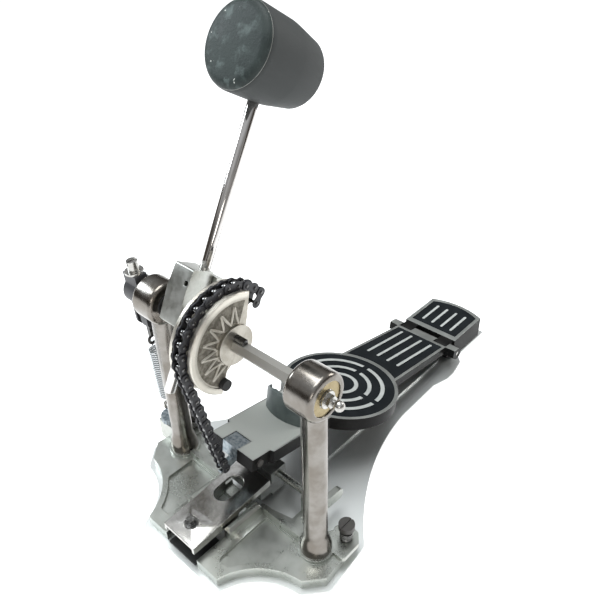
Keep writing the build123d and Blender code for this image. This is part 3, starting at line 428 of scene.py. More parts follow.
TREAD = Finish("tread_slate", (0.007, 0.009, 0.0105), (0.02, 0.024, 0.027), 0.0, (0.5, 0.7), patch=16.0,
    grain_size=0.6, relief=0.03, edge=0.2, rub=0.2, gloss=0.08)
STRIPE = Finish("stripe_silver", (0.60, 0.63, 0.61), (0.80, 0.82, 0.80), 0.6, (0.3, 0.5), patch=9.0,
    grain_size=0.4, relief=0.01, edge=0.15)
TEAL = Finish("teal_grey_paint", (0.065, 0.085, 0.085), (0.16, 0.19, 0.185), 0.25, (0.34, 0.48),
    patch=13.0, grain_size=0.5, relief=0.012, edge=0.4, rub=0.5, coat=0.1)
ZINC = Finish("bluish_zinc", (0.20, 0.24, 0.265), (0.50, 0.54, 0.56), 0.9, (0.22, 0.5), patch=2.4,
    patch_mix=0.6, relief=0.03, edge=0.35, rub=0.8)
ZINC_PLAIN = Finish("plain_zinc", (0.20, 0.205, 0.20), (0.42, 0.43, 0.42), 0.9, (0.3, 0.5), patch=5.0,
    relief=0.03, edge=0.4)
CLAMP = Finish("worn_chrome", (0.62, 0.61, 0.585), (0.26, 0.245, 0.215), rough=(0.05, 0.30), patch=5.0,
    patch_mix=0.35, relief=0.004, dents=0.012, edge=0.7, rub=0.1)
ROCKER = BandedFinish("rocker_black", (0.009, 0.009, 0.010), (0.08, 0.08, 0.08), 0.0, (0.12, 0.3),
    patch=8.0, edge=0.5, coat=0.5)
HOOK = Finish("hook_black", (0.02, 0.02, 0.02), (0.18, 0.17, 0.155), 0.6, (0.2, 0.4), patch=5.0)
WIRE = Finish("spring_wire", (0.50, 0.52, 0.53), (0.78, 0.80, 0.80), rough=(0.14, 0.32), patch=3.0,
    edge=0.1)
SPUR = Finish("spur_black", (0.030, 0.025, 0.021), (0.30, 0.265, 0.225), 0.75, (0.2, 0.42), patch=4.0,
    edge=0.35, rub=0.7)
FLOOR = Finish("studio_floor", (0.92, 0.92, 0.92), (0.94, 0.94, 0.94), 0.0, (0.8, 0.9), patch=400.0,
    relief=0.0, edge=0.1, gloss=0.1, glow=0.55)


# ---- shapes that repeat or follow a line --------------------------------------------------
class TreeKind(Enum):
    """The three ways in which a shape is made by rule."""

    ROW = "shape on every point"
    COIL = "wound wire"
    BENT = "wire along a line"


class ShapeTree:
    """A geometry node tree with named inputs."""

    def __init__(self, kind: TreeKind) -> None:
        """Build the tree of one kind.

        Args:
            kind: which shape it makes.
        """
        self.group = bpy.data.node_groups.new(kind.name.lower(), "GeometryNodeTree")
        self.group.is_modifier = True
        self.group.interface.new_socket("Geometry", in_out="OUTPUT", socket_type="NodeSocketGeometry")
        self.named: dict[str, str] = {}
        self.socket("Geometry", "NodeSocketGeometry")
        self.socket("Finish", "NodeSocketMaterial")
        makers: dict[TreeKind, Callable[[], bpy.types.NodeSocket]] = {
            TreeKind.ROW: self.row, TreeKind.COIL: self.coil, TreeKind.BENT: self.bent}
        self.enter_inputs(kind)
        self.enter = self.group.nodes.new("NodeGroupInput")
        shape = makers[kind]()
        real = self.node("GeometryNodeRealizeInstances", None, {0: shape})
        smooth = self.node("GeometryNodeSetShadeSmooth", None, {0: real.outputs[0]})
        dressed = self.node("GeometryNodeSetMaterial", None, {
            "Geometry": smooth.outputs[0], "Material": self.given("Finish")})
        leave = self.group.nodes.new("NodeGroupOutput")
        self.group.links.new(dressed.outputs[0], leave.inputs[0])

    def enter_inputs(self, kind: TreeKind) -> None:
        """Name the sizes that this kind takes.

        Args:
            kind: which shape the tree makes.
        """
        if kind is TreeKind.ROW:
            self.socket("Shape", "NodeSocketObject")
        else:
            self.socket("Wire Radius", "NodeSocketFloat")
        if kind is TreeKind.COIL:
            self.socket("Turns", "NodeSocketFloat")
            self.socket("Coil Radius", "NodeSocketFloat")
            self.socket("Height", "NodeSocketFloat")
        if kind is TreeKind.BENT:
            self.socket("Bend Radius", "NodeSocketFloat")

    def socket(self, name: str, kind: str) -> None:
        """Add a named input."""
        self.named[name] = self.group.interface.new_socket(name, in_out="INPUT", socket_type=kind).identifier

    def given(self, name: str) -> bpy.types.NodeSocket:
        """The socket of a named input inside the tree."""
        return self.enter.outputs[name]

    def node(self, kind: str, settings: dict | None = None, inputs: dict | None = None) -> bpy.types.Node:
        """Add a node.

        Args:
            kind: the node's type.
            settings: its own settings, set first.
            inputs: values or sockets, by number or name.

        Returns:
            The node.
        """
        node = self.group.nodes.new(kind)
        for key, value in (settings or {}).items():
            setattr(node, key, value)
        for key, value in (inputs or {}).items():
            if isinstance(value, bpy.types.NodeSocket):
                self.group.links.new(value, node.inputs[key])
            else:
                node.inputs[key].default_value = value
        return node

    def row(self) -> bpy.types.NodeSocket:
        """One copy of the shape on each point, turned as the point's own angles say.

        Returns:
            The instances.
        """
        given = {"Object": self.given("Shape")}
        shape = self.node("GeometryNodeObjectInfo", {"transform_space": "ORIGINAL"}, given)
        vector = {"data_type": "FLOAT_VECTOR"}
        turn = self.node("GeometryNodeInputNamedAttribute", vector, {"Name": "turn"})
        angles = self.node("FunctionNodeEulerToRotation", None, {0: turn.outputs[0]})
        copies = self.node("GeometryNodeInstanceOnPoints", None, {
            "Points": self.given("Geometry"), "Instance": shape.outputs["Geometry"],
            "Rotation": angles.outputs[0]})
        return copies.outputs[0]

    def swept(self, curve: bpy.types.NodeSocket) -> bpy.types.NodeSocket:
        """Round wire along a curve.

        Args:
            curve: the line that it follows.

        Returns:
            The wire.
        """
        ring = self.node("GeometryNodeCurvePrimitiveCircle", None, {
            "Resolution": 10, "Radius": self.given("Wire Radius")})
        wire = self.node("GeometryNodeCurveToMesh", None, {
            "Curve": curve, "Profile Curve": ring.outputs[0], "Fill Caps": True})
        return wire.outputs[0]

    def coil(self) -> bpy.types.NodeSocket:
        """Close-wound wire along Z from the origin.

        Returns:
            The coil.
        """
        spiral = self.node("GeometryNodeCurveSpiral", None, {
            "Resolution": 22, "Rotations": self.given("Turns"), "Start Radius": self.given("Coil Radius"),
            "End Radius": self.given("Coil Radius"), "Height": self.given("Height")})
        return self.swept(spiral.outputs[0])

    def bent(self) -> bpy.types.NodeSocket:
        """Wire along a line of points with rounded corners.

        Returns:
            The wire.
        """
        line = self.node("GeometryNodeMeshToCurve", None, {0: self.given("Geometry")})
        eased = self.node("GeometryNodeFilletCurve", {"mode": "POLY"}, {
            "Curve": line.outputs[0], "Count": 6, "Radius": self.given("Bend Radius"), "Limit Radius": True})
        return self.swept(eased.outputs[0])

    def shape(self, base: bpy.types.Mesh, finish: Finish, **sizes: Any) -> bpy.types.Mesh:
        """Run the tree on a mesh.

        Args:
            base: points or line that it starts from.
            finish: the finish of the result.
            sizes: the other named inputs, with _ for a space.

        Returns:
            A plain mesh.
        """
        holder = bpy.data.objects.new("holder", base)
        bpy.context.scene.collection.objects.link(holder)
        modifier = holder.modifiers.new("shape", "NODES")
        modifier.node_group = self.group
        modifier[self.named["Finish"]] = finish.material()
        for key, value in sizes.items():
            modifier[self.named[key.replace("_", " ").title()]] = value
        bpy.context.view_layer.update()
        ready = holder.evaluated_get(bpy.context.evaluated_depsgraph_get())
        mesh = bpy.data.meshes.new_from_object(ready)
        holder.modifiers.remove(modifier)
        bpy.data.objects.remove(holder)
        return mesh


TREES = {kind: ShapeTree(kind) for kind in TreeKind}


# ---- mesh work -------------------------------------------------------------------------------
def shade(mesh: bpy.types.Mesh, sharp: float = 34.0) -> bpy.types.Mesh:
    """Shade smooth, with sharp edges where faces meet steeply.

    Args:
        mesh: the mesh to shade.
        sharp: angle in degrees past which an edge stays sharp.

    Returns:
        The same mesh.
    """
    if "custom_normal" in mesh.attributes:
        mesh.attributes.remove(mesh.attributes["custom_normal"])
    mesh.polygons.foreach_set("use_smooth", [True] * len(mesh.polygons))
    mesh.set_sharp_from_angle(angle=math.radians(sharp))
    return mesh


def from_bmesh(bm: bmesh.types.BMesh, sharp: float = 34.0) -> bpy.types.Mesh:
    """Turn a bmesh into a shaded mesh with outward faces.

    Args:
        bm: the shape, which is freed.
        sharp: see shade.

    Returns:
        The mesh.
    """
    bmesh.ops.remove_doubles(bm, verts=bm.verts, dist=1e-7)
    bmesh.ops.recalc_face_normals(bm, faces=bm.faces)
    mesh = bpy.data.meshes.new("piece")
    bm.to_mesh(mesh)
    bm.free()
    return shade(mesh, sharp)


def cad_copy(node: str, sharp: float = 34.0) -> bpy.types.Mesh:
    """Merged and smooth-shaded copy of a CAD node's mesh.

    Args:
        node: the node's name.
        sharp: see shade.

    Returns:
        The copy.
    """
    bm = bmesh.new()
    bm.from_mesh(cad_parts[node].data)
    bmesh.ops.remove_doubles(bm, verts=bm.verts, dist=2e-6)
    mesh = bpy.data.meshes.new(node)
    bm.to_mesh(mesh)
    bm.free()
    mesh.materials.clear()
    return shade(mesh, sharp)


def points_mesh(places: Sequence[Point], turns: Sequence[Point] | None = None,
                joined: bool = False) -> bpy.types.Mesh:
    """Mesh of loose points, or of one line.

    Args:
        places: positions in metres.
        turns: angles for each point in radians.
        joined: make edges from each point to the next.

    Returns:
        The mesh.
    """
    mesh = bpy.data.meshes.new("points")
    edges = [(i, i + 1) for i in range(len(places) - 1)] if joined else []
    mesh.from_pydata([tuple(p) for p in places], edges, [])
    if turns is not None:
        attribute = mesh.attributes.new("turn", "FLOAT_VECTOR", "POINT")
        attribute.data.foreach_set("vector", [value for turn in turns for value in turn])
    return mesh


def slab(outline: Sequence[tuple[float, float]], half: float, edge: float) -> bpy.types.Mesh:
    """Flat plate in the YZ plane with chamfered edges.

    Args:
        outline: corners in millimetres, in order.
        half: half of its thickness along X in millimetres.
        edge: size of the chamfer in millimetres.

    Returns:
        The mesh, centred on X = 0.
    """
    bm = bmesh.new()
    middle = Vector((sum(p[0] for p in outline), sum(p[1] for p in outline))) / len(outline)
    rings = []
    for x, inset in ((-half, edge), (-half + edge, 0.0), (half - edge, 0.0), (half, edge)):
        ring = []
        for point in outline:
            away = Vector(point) - middle
            away *= max(away.length - inset, 0.0) / away.length
            ring.append(bm.verts.new(Vector((x, middle.x + away.x, middle.y + away.y)) * MM))
        rings.append(ring)
    for low, high in zip(rings, rings[1:]):
        for i in range(len(outline)):
            j = (i + 1) % len(outline)
            bm.faces.new((low[i], low[j], high[j], high[i]))
    bm.faces.new(rings[0])
    bm.faces.new(rings[-1])
    return from_bmesh(bm)


def turned(stations: Sequence[tuple[float, float]], count: int,
           matrix: Matrix | None = None) -> bpy.types.Mesh:
    """Turned shape about X.

    Args:
        stations: (distance along X, radius) in millimetres; a radius of 0 closes an end.
        count: divisions round the axis.
        matrix: where the shape goes, in metres.

    Returns:
        The mesh.
    """
    bm = bmesh.new()
    rings = []
    for x, radius in stations:
        ring = []
        for i in range(count):
            angle = 2 * math.pi * i / count
            ring.append(bm.verts.new(Vector((x, radius * math.cos(angle), radius * math.sin(angle))) * MM))
        rings.append(ring)
    for low, high in zip(rings, rings[1:]):
        for i in range(count):
            j = (i + 1) % count
            bm.faces.new((low[i], low[j], high[j], high[i]))
    bm.faces.new(rings[0])
    bm.faces.new(rings[-1])
    bmesh.ops.transform(bm, matrix=matrix or Matrix.Identity(4), verts=bm.verts)
    bmesh.ops.dissolve_degenerate(bm, edges=bm.edges, dist=1e-7)
    return from_bmesh(bm, 50.0)


def shape_object(mesh: bpy.types.Mesh, name: str) -> bpy.types.Object:
    """Hidden helper object that a row tree copies."""
    return bpy.data.objects.new(name, mesh)


def wound(finish: Finish, wire: float, turns: float, radius: float, height: float) -> bpy.types.Mesh:
    """Coil of wire up Z from the origin.

    Args:
        finish: its finish.
        wire: radius of the wire in millimetres.
        turns: how many turns.
        radius: radius of the coil in millimetres.
        height: its height in millimetres.

    Returns:
        The coil.
    """
    return TREES[TreeKind.COIL].shape(points_mesh([(0, 0, 0)]), finish, wire_radius=wire * MM, turns=turns,
                                      coil_radius=radius * MM, height=height * MM)


def bent_wire(finish: Finish, line: bpy.types.Mesh, wire: float, bend: float) -> bpy.types.Mesh:
    """Wire along a line of points.

    Args:
        finish: its finish.
        line: the points, joined by edges.
        wire: radius of the wire in millimetres.
        bend: radius of its corners in millimetres.

    Returns:
        The wire.
    """
    return TREES[TreeKind.BENT].shape(line, finish, wire_radius=wire * MM, bend_radius=bend * MM)


def show(name: str, mesh: bpy.types.Mesh, body: str, finishes: Finish | Sequence[Finish],
         stands_for: Sequence[str] = ()) -> bpy.types.Object:
    """Put a finished piece in the scene, on its body.

    Args:
        name: the piece's name.
        mesh: its mesh, in place.
        body: the CAD body that it rides on.
        finishes: one finish, or one for each of the mesh's slots.
        stands_for: CAD nodes that it replaces.

    Returns:
        The object.
    """
    mesh.name = name
    if isinstance(finishes, Finish):
        mesh.materials.clear()
        finishes = [finishes]
    for finish in finishes:
        mesh.materials.append(finish.material())
    piece = bpy.data.objects.new(name, mesh)
    bpy.context.scene.collection.objects.link(piece)
    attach(piece, body)
    if stands_for:
        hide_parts(*stands_for)
    LOG.info("%s: %d faces on %s", name, len(mesh.polygons), body)
    return piece


def redress(node: str, body: str, finish: Finish, sharp: float = 34.0) -> bpy.types.Object:
    """Show a CAD node as a merged, smooth-shaded copy with a finish.

    Args:
        node: the node's name.
        body: its body.
        finish: its finish.
        sharp: see shade.

    Returns:
        The object.
    """
    return show(node + "_piece", cad_copy(node, sharp), body, finish, [node])


def paint_faces(mesh: bpy.types.Mesh, normal: Vector, where: Callable[[Vector], bool]) -> None:
    """Give the second slot to the faces that look one way and lie in one region.

    Args:
        mesh: the mesh to mark.
        normal: the way that they look.
        where: tells from a face's middle whether it is in the region.
    """
    for face in mesh.polygons:
        bare = face.normal.dot(normal) > 0.995 and where(face.center)
        face.material_index = 1 if bare else 0


# ---- sub-assemblies ------------------------------------------------------------------------------
@dataclass
class Layout:
    """Places that several sub-assemblies share, in millimetres."""

    axle_z: float = 162.3
    rod_x: float = -47.4
    rod_back: float = 8.9
    toe_y: float = -7.3
    toe_z: float = 70.1
    chain_x: float = -2.75

    def rod_frame(self) -> Matrix:
        """Matrix from a shape with an upright rod to its resting lean."""
        return Matrix.Translation((0, 0, self.axle_z * MM)) @ Matrix.Rotation(math.radians(-LEAN), 4, "X")

    def board_frame(self) -> Matrix:
        """Matrix from a flat board with its toe at the origin to its resting slope."""
        toe = Matrix.Translation((0, self.toe_y * MM, self.toe_z * MM))
        return toe @ Matrix.Rotation(math.radians(-PITCH), 4, "X")


@dataclass
class BaseFrame:
    """Base sheet, the two castings and what holds them together."""

    def build(self) -> None:
        """Show the base."""
        redress("base_plate", "root", SHEET, 50.0)
        for side in ("right", "left"):
            redress("base_casting_" + side, "root", CAST, 40.0)
        redress("clamp_bridge", "root", CAST)
        redress("lower_jaw_pad", "root", RUBBER)
        for node in ("plate_screws", "upright_screws", "clamp_pin", "hinge_pin"):
            redress(node, "root", STEEL)


@dataclass
class Uprights:
    """Two posts with bearing housings, bearings and the rings round the axle."""

    housing_in: float = 63.2
    ring_r: float = 8.6
    ring_wire: float = 0.7
    ring_inset: float = 0.2

    def build(self, layout: Layout) -> None:
        """Show the posts and bearings.

        Args:
            layout: shared places.
        """
        for side in ("right", "left"):
            redress("upright_" + side, "root", POST, 60.0)
        redress("bearing_outer_rings", "root", BEARING, 60.0)
        redress("bearing_inner_rings", "axle_body", BEARING, 60.0)
        redress("bearing_balls", "root", BEARING, 60.0)
        redress("bearing_seals", "root", BRASS, 60.0)
        for name, sign in (("right", 1), ("left", -1)):
            ring = self.ring(Vector((sign * (self.housing_in - self.ring_inset), 0, layout.axle_z)))
            show("housing_ring_" + name, ring, "root", RUBBER)

    def ring(self, centre: Vector) -> bpy.types.Mesh:
        """Rubber ring about X.

        Args:
            centre: its middle in millimetres.

        Returns:
            The mesh.
        """
        stations = [(self.ring_wire * math.cos(a), self.ring_r + self.ring_wire * math.sin(a))
                    for a in [math.pi * k / 6 for k in range(13)]]
        return turned(stations, 48, Matrix.Translation(centre * MM))


@dataclass
class AxleAndCam:
    """Axle, nipple, cam with its relief, bumper and key."""

    relief_count: int = 7
    relief_first: float = 84.0
    relief_step: float = 23.0
    relief_r: float = 21.5
    relief_x: float = 5.7
    ridge: float = 0.95
    recess: tuple[float, float] = (15.6, 30.6)
    recess_x: float = 5.55
    recess_t: float = 0.12
    rim: tuple[float, float] = (31.6, 36.2)
    rim_x: float = 5.5
    rim_t: float = 0.75
    band_bevel: float = 0.35
    band_steps: int = 72
    ridge_line: tuple[Point, ...] = ((0, -6.6, -3.0), (0, 7.2, 0), (0, -6.6, 3.0))
    ridge_bend: float = 0.4
    arc: tuple[float, float] = (66.0, 244.0)

    def build(self, layout: Layout) -> None:
        """Show the axle and the cam.

        Args:
            layout: shared places.
        """
        redress("axle", "axle_body", AXLE)
        redress("axle_nipple", "axle_body", STEEL, 40.0)
        redress("cam", "axle_body", CAM, 40.0)
        redress("cam_bumper", "axle_body", RUBBER, 40.0)
        redress("cam_key", "axle_body", PINS)
        show("cam_relief", self.relief(layout), "axle_body", CAM)
        floor = self.band(self.recess, self.recess_x, self.recess_t, layout)
        show("cam_floor", floor, "axle_body", CAM_FLOOR)
        rim = self.band(self.rim, self.rim_x, self.rim_t, layout)
        show("cam_rim", rim, "axle_body", CAM)

    def band(self, radii: tuple[float, float], x: float, thick: float, layout: Layout) -> bpy.types.Mesh:
        """Part of a flat ring on the cam's near face, with bevelled edges.

        Args:
            radii: its inner and outer radius in millimetres.
            x: where it starts.
            thick: how far it stands out.
            layout: shared places.

        Returns:
            The band.
        """
        bm = bmesh.new()
        rows = []
        low, high = radii
        bevel = min(self.band_bevel, thick / 2)
        profile = [(0.0, low), (thick - bevel, low), (thick, low + bevel),
                   (thick, high - bevel), (thick - bevel, high), (0.0, high)]
        first, last = (math.radians(a) for a in self.arc)
        for k in range(self.band_steps + 1):
            angle = first + (last - first) * k / self.band_steps
            corners = [Vector((x + out, r * math.cos(angle), layout.axle_z + r * math.sin(angle)))
                       for out, r in profile]
            rows.append([bm.verts.new(corner * MM) for corner in corners])
        for near, far in zip(rows, rows[1:]):
            for i in range(len(profile)):
                j = (i + 1) % len(profile)
                bm.faces.new((near[i], near[j], far[j], far[i]))
        bm.faces.new(rows[0])
        bm.faces.new(rows[-1])
        return from_bmesh(bm)

    def relief(self, layout: Layout) -> bpy.types.Mesh:
        """Raised ridges round the cam's triangular windows.

        Args:
            layout: shared places.

        Returns:
            The ridges as one mesh.
        """
        places = []
        turns = []
        for i in range(self.relief_count):
            angle = math.radians(self.relief_first + self.relief_step * i)
            y = self.relief_r * math.cos(angle)
            z = layout.axle_z + self.relief_r * math.sin(angle)
            places.append((self.relief_x * MM, y * MM, z * MM))
            turns.append((angle, 0.0, 0.0))
        line = points_mesh([(x * MM, y * MM, z * MM) for x, y, z in self.ridge_line], joined=True)
        ridge = bent_wire(CAM, line, self.ridge, self.ridge_bend)
        row = points_mesh(places, turns)
        return TREES[TreeKind.ROW].shape(row, CAM, shape=shape_object(ridge, "ridge"))


@dataclass
class DriveChain:
    """Roller chain: links on the cam, links that leave it, and the hanging run."""

    pitch: float = 8.0
    on_cam: int = 13
    free: int = 3
    hanging: int = 13
    step: float = 12.0
    leave: float = 192.2
    end_angle: float = 232.0
    plate_end: float = 3.5
    plate_waist: float = 2.5
    plate_t: float = 0.8
    inner_half: float = 2.2
    gap: float = 0.25
    roller_r: float = 2.5
    pin_r: float = 1.15
    proud: float = 0.7
    plate_edge: float = 0.16
    roller_half: float = 2.1
    head_over: float = 0.35

    def radius(self) -> float:
        """Radius of the chain's pin circle on the cam."""
        return self.pitch / 2 / math.sin(math.radians(self.step / 2))

    def cam_pin(self, index: int, layout: Layout) -> Vector:
        """Centre of a pin round the cam, counted from where the chain leaves."""
        angle = math.radians(self.leave - self.step * index)
        return Vector((math.cos(angle), math.sin(angle))) * self.radius() + Vector((0, layout.axle_z))

    def run_pin(self, index: int, layout: Layout) -> Vector:
        """Centre of a pin down the hanging run."""
        angle = math.radians(self.leave)
        return self.cam_pin(0, layout) + Vector((-math.sin(angle), math.cos(angle))) * self.pitch * index

    def plate(self) -> bpy.types.Mesh:
        """Side plate with two round ends and a waist.

        Returns:
            The plate, with its length along Y.
        """
        outline = []
        for side in (1, -1):
            for k in range(9):
                angle = math.radians(-112 + 28 * k) if side > 0 else math.radians(68 + 28 * k)
                along = side * self.pitch / 2 + self.plate_end * math.cos(angle)
                outline.append((along, self.plate_end * math.sin(angle)))
            outline.append((0.0, side * self.plate_waist))
        return slab(outline, self.plate_t / 2, self.plate_edge)

    def roller(self) -> bpy.types.Mesh:
        """Roller with rounded rims, about X."""
        half, rim = self.roller_half, self.roller_r - 0.3
        side = [(half, 1.3), (half, rim), (half - 0.35, self.roller_r)]
        return turned([(-x, radius) for x, radius in side] + side[::-1], 18)

    def pin(self) -> bpy.types.Mesh:
        """Pin with a riveted head at each end, about X.

        Returns:
            The pin.
        """
        half = self.inner_half + 2 * self.plate_t + self.gap + self.proud
        head = self.pin_r + self.head_over
        side = [(half, 0.5), (half - 0.15, head - 0.2), (half - 0.4, head), (half - 0.6, self.pin_r)]
        return turned([(-x, radius) for x, radius in side] + side[::-1], 12)

    def build(self, layout: Layout) -> None:
        """Show the chain, one set of pieces for each body.

        Args:
            layout: shared places.
        """
        names = ("cam", "a", "b", "c", "run")
        links: dict[str, list[tuple[Vector, Vector, bool]]] = {name: [] for name in names}
        for i in range(self.on_cam):
            name = "cba"[i] if i < self.free else "cam"
            links[name].append((self.cam_pin(i, layout), self.cam_pin(i + 1, layout), i % 2 == 1))
        last = self.cam_pin(self.on_cam, layout)
        down = math.radians(self.end_angle)
        links["cam"].append((last, last + Vector((math.cos(down), math.sin(down))) * self.pitch, True))
        for i in range(self.hanging):
            links["run"].append((self.run_pin(i, layout), self.run_pin(i + 1, layout), i % 2 == 0))
        bodies = {"cam": ("axle_body", "cam_chain"), "run": ("chain_low", "chain_run")}
        bodies |= {letter: ("chain_" + letter, "chain_link_" + letter) for letter in "abc"}
        for name in links:
            body, node = bodies[name]
            self.dress(name, links[name], body, node, layout)

    def dress(self, name: str, links: list[tuple[Vector, Vector, bool]], body: str, node: str,
              layout: Layout) -> None:
        """Show the plates, rollers and pins of one body's links.

        Args:
            name: what the group is called.
            links: pin centres of each link, and whether it is an outer link.
            body: the CAD body.
            node: the CAD node that the links replace.
            layout: shared places.
        """
        plates: list[Point] = []
        turns: list[Point] = []
        rollers: list[Point] = []
        pins: list[Point] = []
        for start, end, outer in links:
            along = end - start
            angle = math.atan2(along.y, along.x)
            middle = (start + end) / 2
            offset = self.inner_half + self.plate_t / 2 + (self.plate_t + self.gap if outer else 0.0)
            for side in (-1, 1):
                plates.append(((layout.chain_x + side * offset) * MM, middle.x * MM, middle.y * MM))
                turns.append((angle, 0.0, 0.0))
            for pin in (start, end):
                (pins if outer else rollers).append((layout.chain_x * MM, pin.x * MM, pin.y * MM))
        roller, pin = self.roller(), self.pin()
        row = TREES[TreeKind.ROW]
        plate = shape_object(self.plate(), "plate")
        plate_mesh = row.shape(points_mesh(plates, turns), CHAIN, shape=plate)
        show(f"chain_{name}_plates", shade(plate_mesh, 40.0), body, CHAIN, [node])
        for label, places, shape, finish in (("rollers", rollers, roller, ROLLER), ("pins", pins, pin, PINS)):
            if places:
                level = [(0.0, 0.0, 0.0)] * len(places)
                mesh = row.shape(points_mesh(places, level), finish, shape=shape_object(shape, label))
                show(f"chain_{name}_{label}", mesh, body, finish)


@dataclass
class Beater:
    """Hub block with its clamp, the rod, and the two-part head."""

    centre: float = 178.5
    face_r: float = 21.5
    body_r: float = 28.8
    front: float = 31.0
    seam: float = 26.0
    seam_t: float = 0.8
    dome: float = 0.6
    lip: float = 0.8
    rings: int = 6
    taper: float = 25.0
    back: float = 33.0
    divisions: int = 96
    tip_r: float = 0.01
    cap_bore: float = 5.0
    bore: float = 6.0

    def build(self, layout: Layout) -> None:
        """Show the beater.

        Args:
            layout: shared places.
        """
        redress("beater_hub", "axle_body", HUB)
        redress("beater_clamp", "axle_body", HUB)
        redress("rod_clamp_screw", "axle_body", STEEL)
        redress("beater_rod", "rod", CHROME, 50.0)
        redress("beater_screw", "head", STEEL)
        middle = Vector((layout.rod_x, layout.rod_back, self.centre)) * MM
        seat = layout.rod_frame() @ Matrix.Translation(middle)
        forward = seat @ Matrix.Rotation(math.radians(-90), 4, "Z")
        for node, stations, finish, slot in (("beater_cap", self.cap(), CAP, "beater_grey"),
                                             ("beater_seam", self.ring(), SEAM, "seam_pale"),
                                             ("beater_body", self.body(), BEATER, "beater_black")):
            show(node + "_piece", turned(stations, self.divisions, forward), "head", finish, [node])

    def cap(self) -> list[tuple[float, float]]:
        """Stations of the striking cap: slightly domed face, round shoulder, short side.

        Returns:
            Distances along the axis and radii.
        """
        rings = self.rings
        stations = [(self.front - self.dome * (k / rings) ** 2, self.face_r * k / rings + self.tip_r)
                    for k in range(rings + 1)]
        fall = self.front - self.dome - self.seam - self.seam_t
        rise = self.body_r - self.lip - self.face_r
        for k in range(1, 2 * rings + 1):
            angle = math.radians(90 * k / 2 / rings)
            along = self.seam + self.seam_t + fall * math.cos(angle)
            stations.append((along, self.face_r + rise * math.sin(angle)))
        stations.append((self.seam + self.seam_t, self.cap_bore))
        return stations

    def ring(self) -> list[tuple[float, float]]:
        """Stations of the thin pale ring between cap and body."""
        back, front, rim = self.seam + 0.05, self.seam + self.seam_t - 0.05, self.body_r - self.lip + 0.12
        return [(front, self.bore), (front, rim - 0.2), ((front + back) / 2, rim), (back, rim - 0.2),
                (back, self.bore)]

    def body(self) -> list[tuple[float, float]]:
        """Stations of the moulded body, which narrows to its back.

        Returns:
            Distances along the axis and radii.
        """
        seam, back, widest = self.seam, -self.back, self.body_r
        turn = back + self.taper
        return [(seam, self.bore), (seam, widest - 0.7), (seam - 1.0, widest - 0.15), (seam - 3.0, widest),
                (turn + 3.0, widest - 0.3), (turn, widest - 0.6), (turn - 3.0, widest - 1.0),
                (back + 2.6, widest - 4.1), (back + 1.0, widest - 4.9), (back + 0.3, widest - 6.0),
                (back, widest - 7.6), (back, self.tip_r)]


@dataclass
class Footboard:
    """Board with bare machined top, deck, treads, toe stop and chain connector."""

    top_tolerance: float = 0.08
    raised: float = 0.4

    def build(self, layout: Layout) -> None:
        """Show the footboard.

        Args:
            layout: shared places.
        """
        up = layout.board_frame().to_3x3() @ Vector((0, 0, 1))
        flat = layout.board_frame().inverted()

        def height(point: Vector) -> float:
            """Height of a point over the board's top in millimetres."""
            return (flat @ point).z / MM

        board = cad_copy("footboard")
        paint_faces(board, up, lambda p: height(p) > -self.top_tolerance)
        show("footboard_piece", board, "board", [PAINT, BARE], ["footboard"])
        for node in ("disc_tread", "panel_tread"):
            tread = cad_copy(node)
            paint_faces(tread, up, lambda p: height(p) > self.raised)
            show(node + "_piece", tread, "board", [TREAD, STRIPE], [node])
        redress("toe_deck", "board", DECK)
        redress("toe_stop", "board", TEAL, 50.0)
        redress("chain_connector", "board", ZINC)
        redress("toe_stop_screws", "board", STEEL)
        redress("connector_screw", "board", SPUR)


@dataclass
class Heel:
    """Heel block with a bare rim, its tread and screws."""

    top: float = 23.9
    raised: float = 0.2

    def build(self) -> None:
        """Show the heel."""
        up = Vector((0, 0, 1))
        block = cad_copy("heel_block")
        paint_faces(block, up, lambda p: p.z > self.top * MM)
        show("heel_block_piece", block, "root", [PAINT, BARE], ["heel_block"])
        tread = cad_copy("heel_tread")
        paint_faces(tread, up, lambda p: p.z > (self.top + self.raised) * MM)
        show("heel_tread_piece", tread, "root", [TREAD, STRIPE], ["heel_tread"])
        redress("heel_screws", "root", STEEL)


@dataclass
class HoopClamp:
    """Pressed clamp plate, its bolt and pad, the wedge and the wing screw."""

    def build(self) -> None:
        """Show the clamp."""
        redress("hoop_clamp_plate", "clamp", CLAMP)
        redress("clamp_bolt", "clamp", BOLT)
        redress("clamp_jaw_pad", "clamp", RUBBER)
        redress("clamp_wedge", "wedge", ZINC_PLAIN)
        redress("wing_screw", "wing", CAST)


@dataclass
class Spurs:
    """Two spur screws with the springs under their heads."""

    x: float = 86.0
    y: float = 20.0
    low: float = 14.8
    high: float = 21.0
    radius: float = 4.4
    wire: float = 0.62
    turns: float = 4.5

    def build(self) -> None:
        """Show the spurs."""
        for name, sign in (("right", 1), ("left", -1)):
            redress("spur_screw_" + name, "spur_" + name[0], SPUR, 50.0)
            coil = wound(SPUR, self.wire, self.turns, self.radius, self.high - self.low)
            coil.transform(Matrix.Translation(Vector((sign * self.x, self.y, self.low)) * MM))
            show("spur_spring_" + name + "_piece", coil, "root", BOLT, ["spur_spring_" + name])


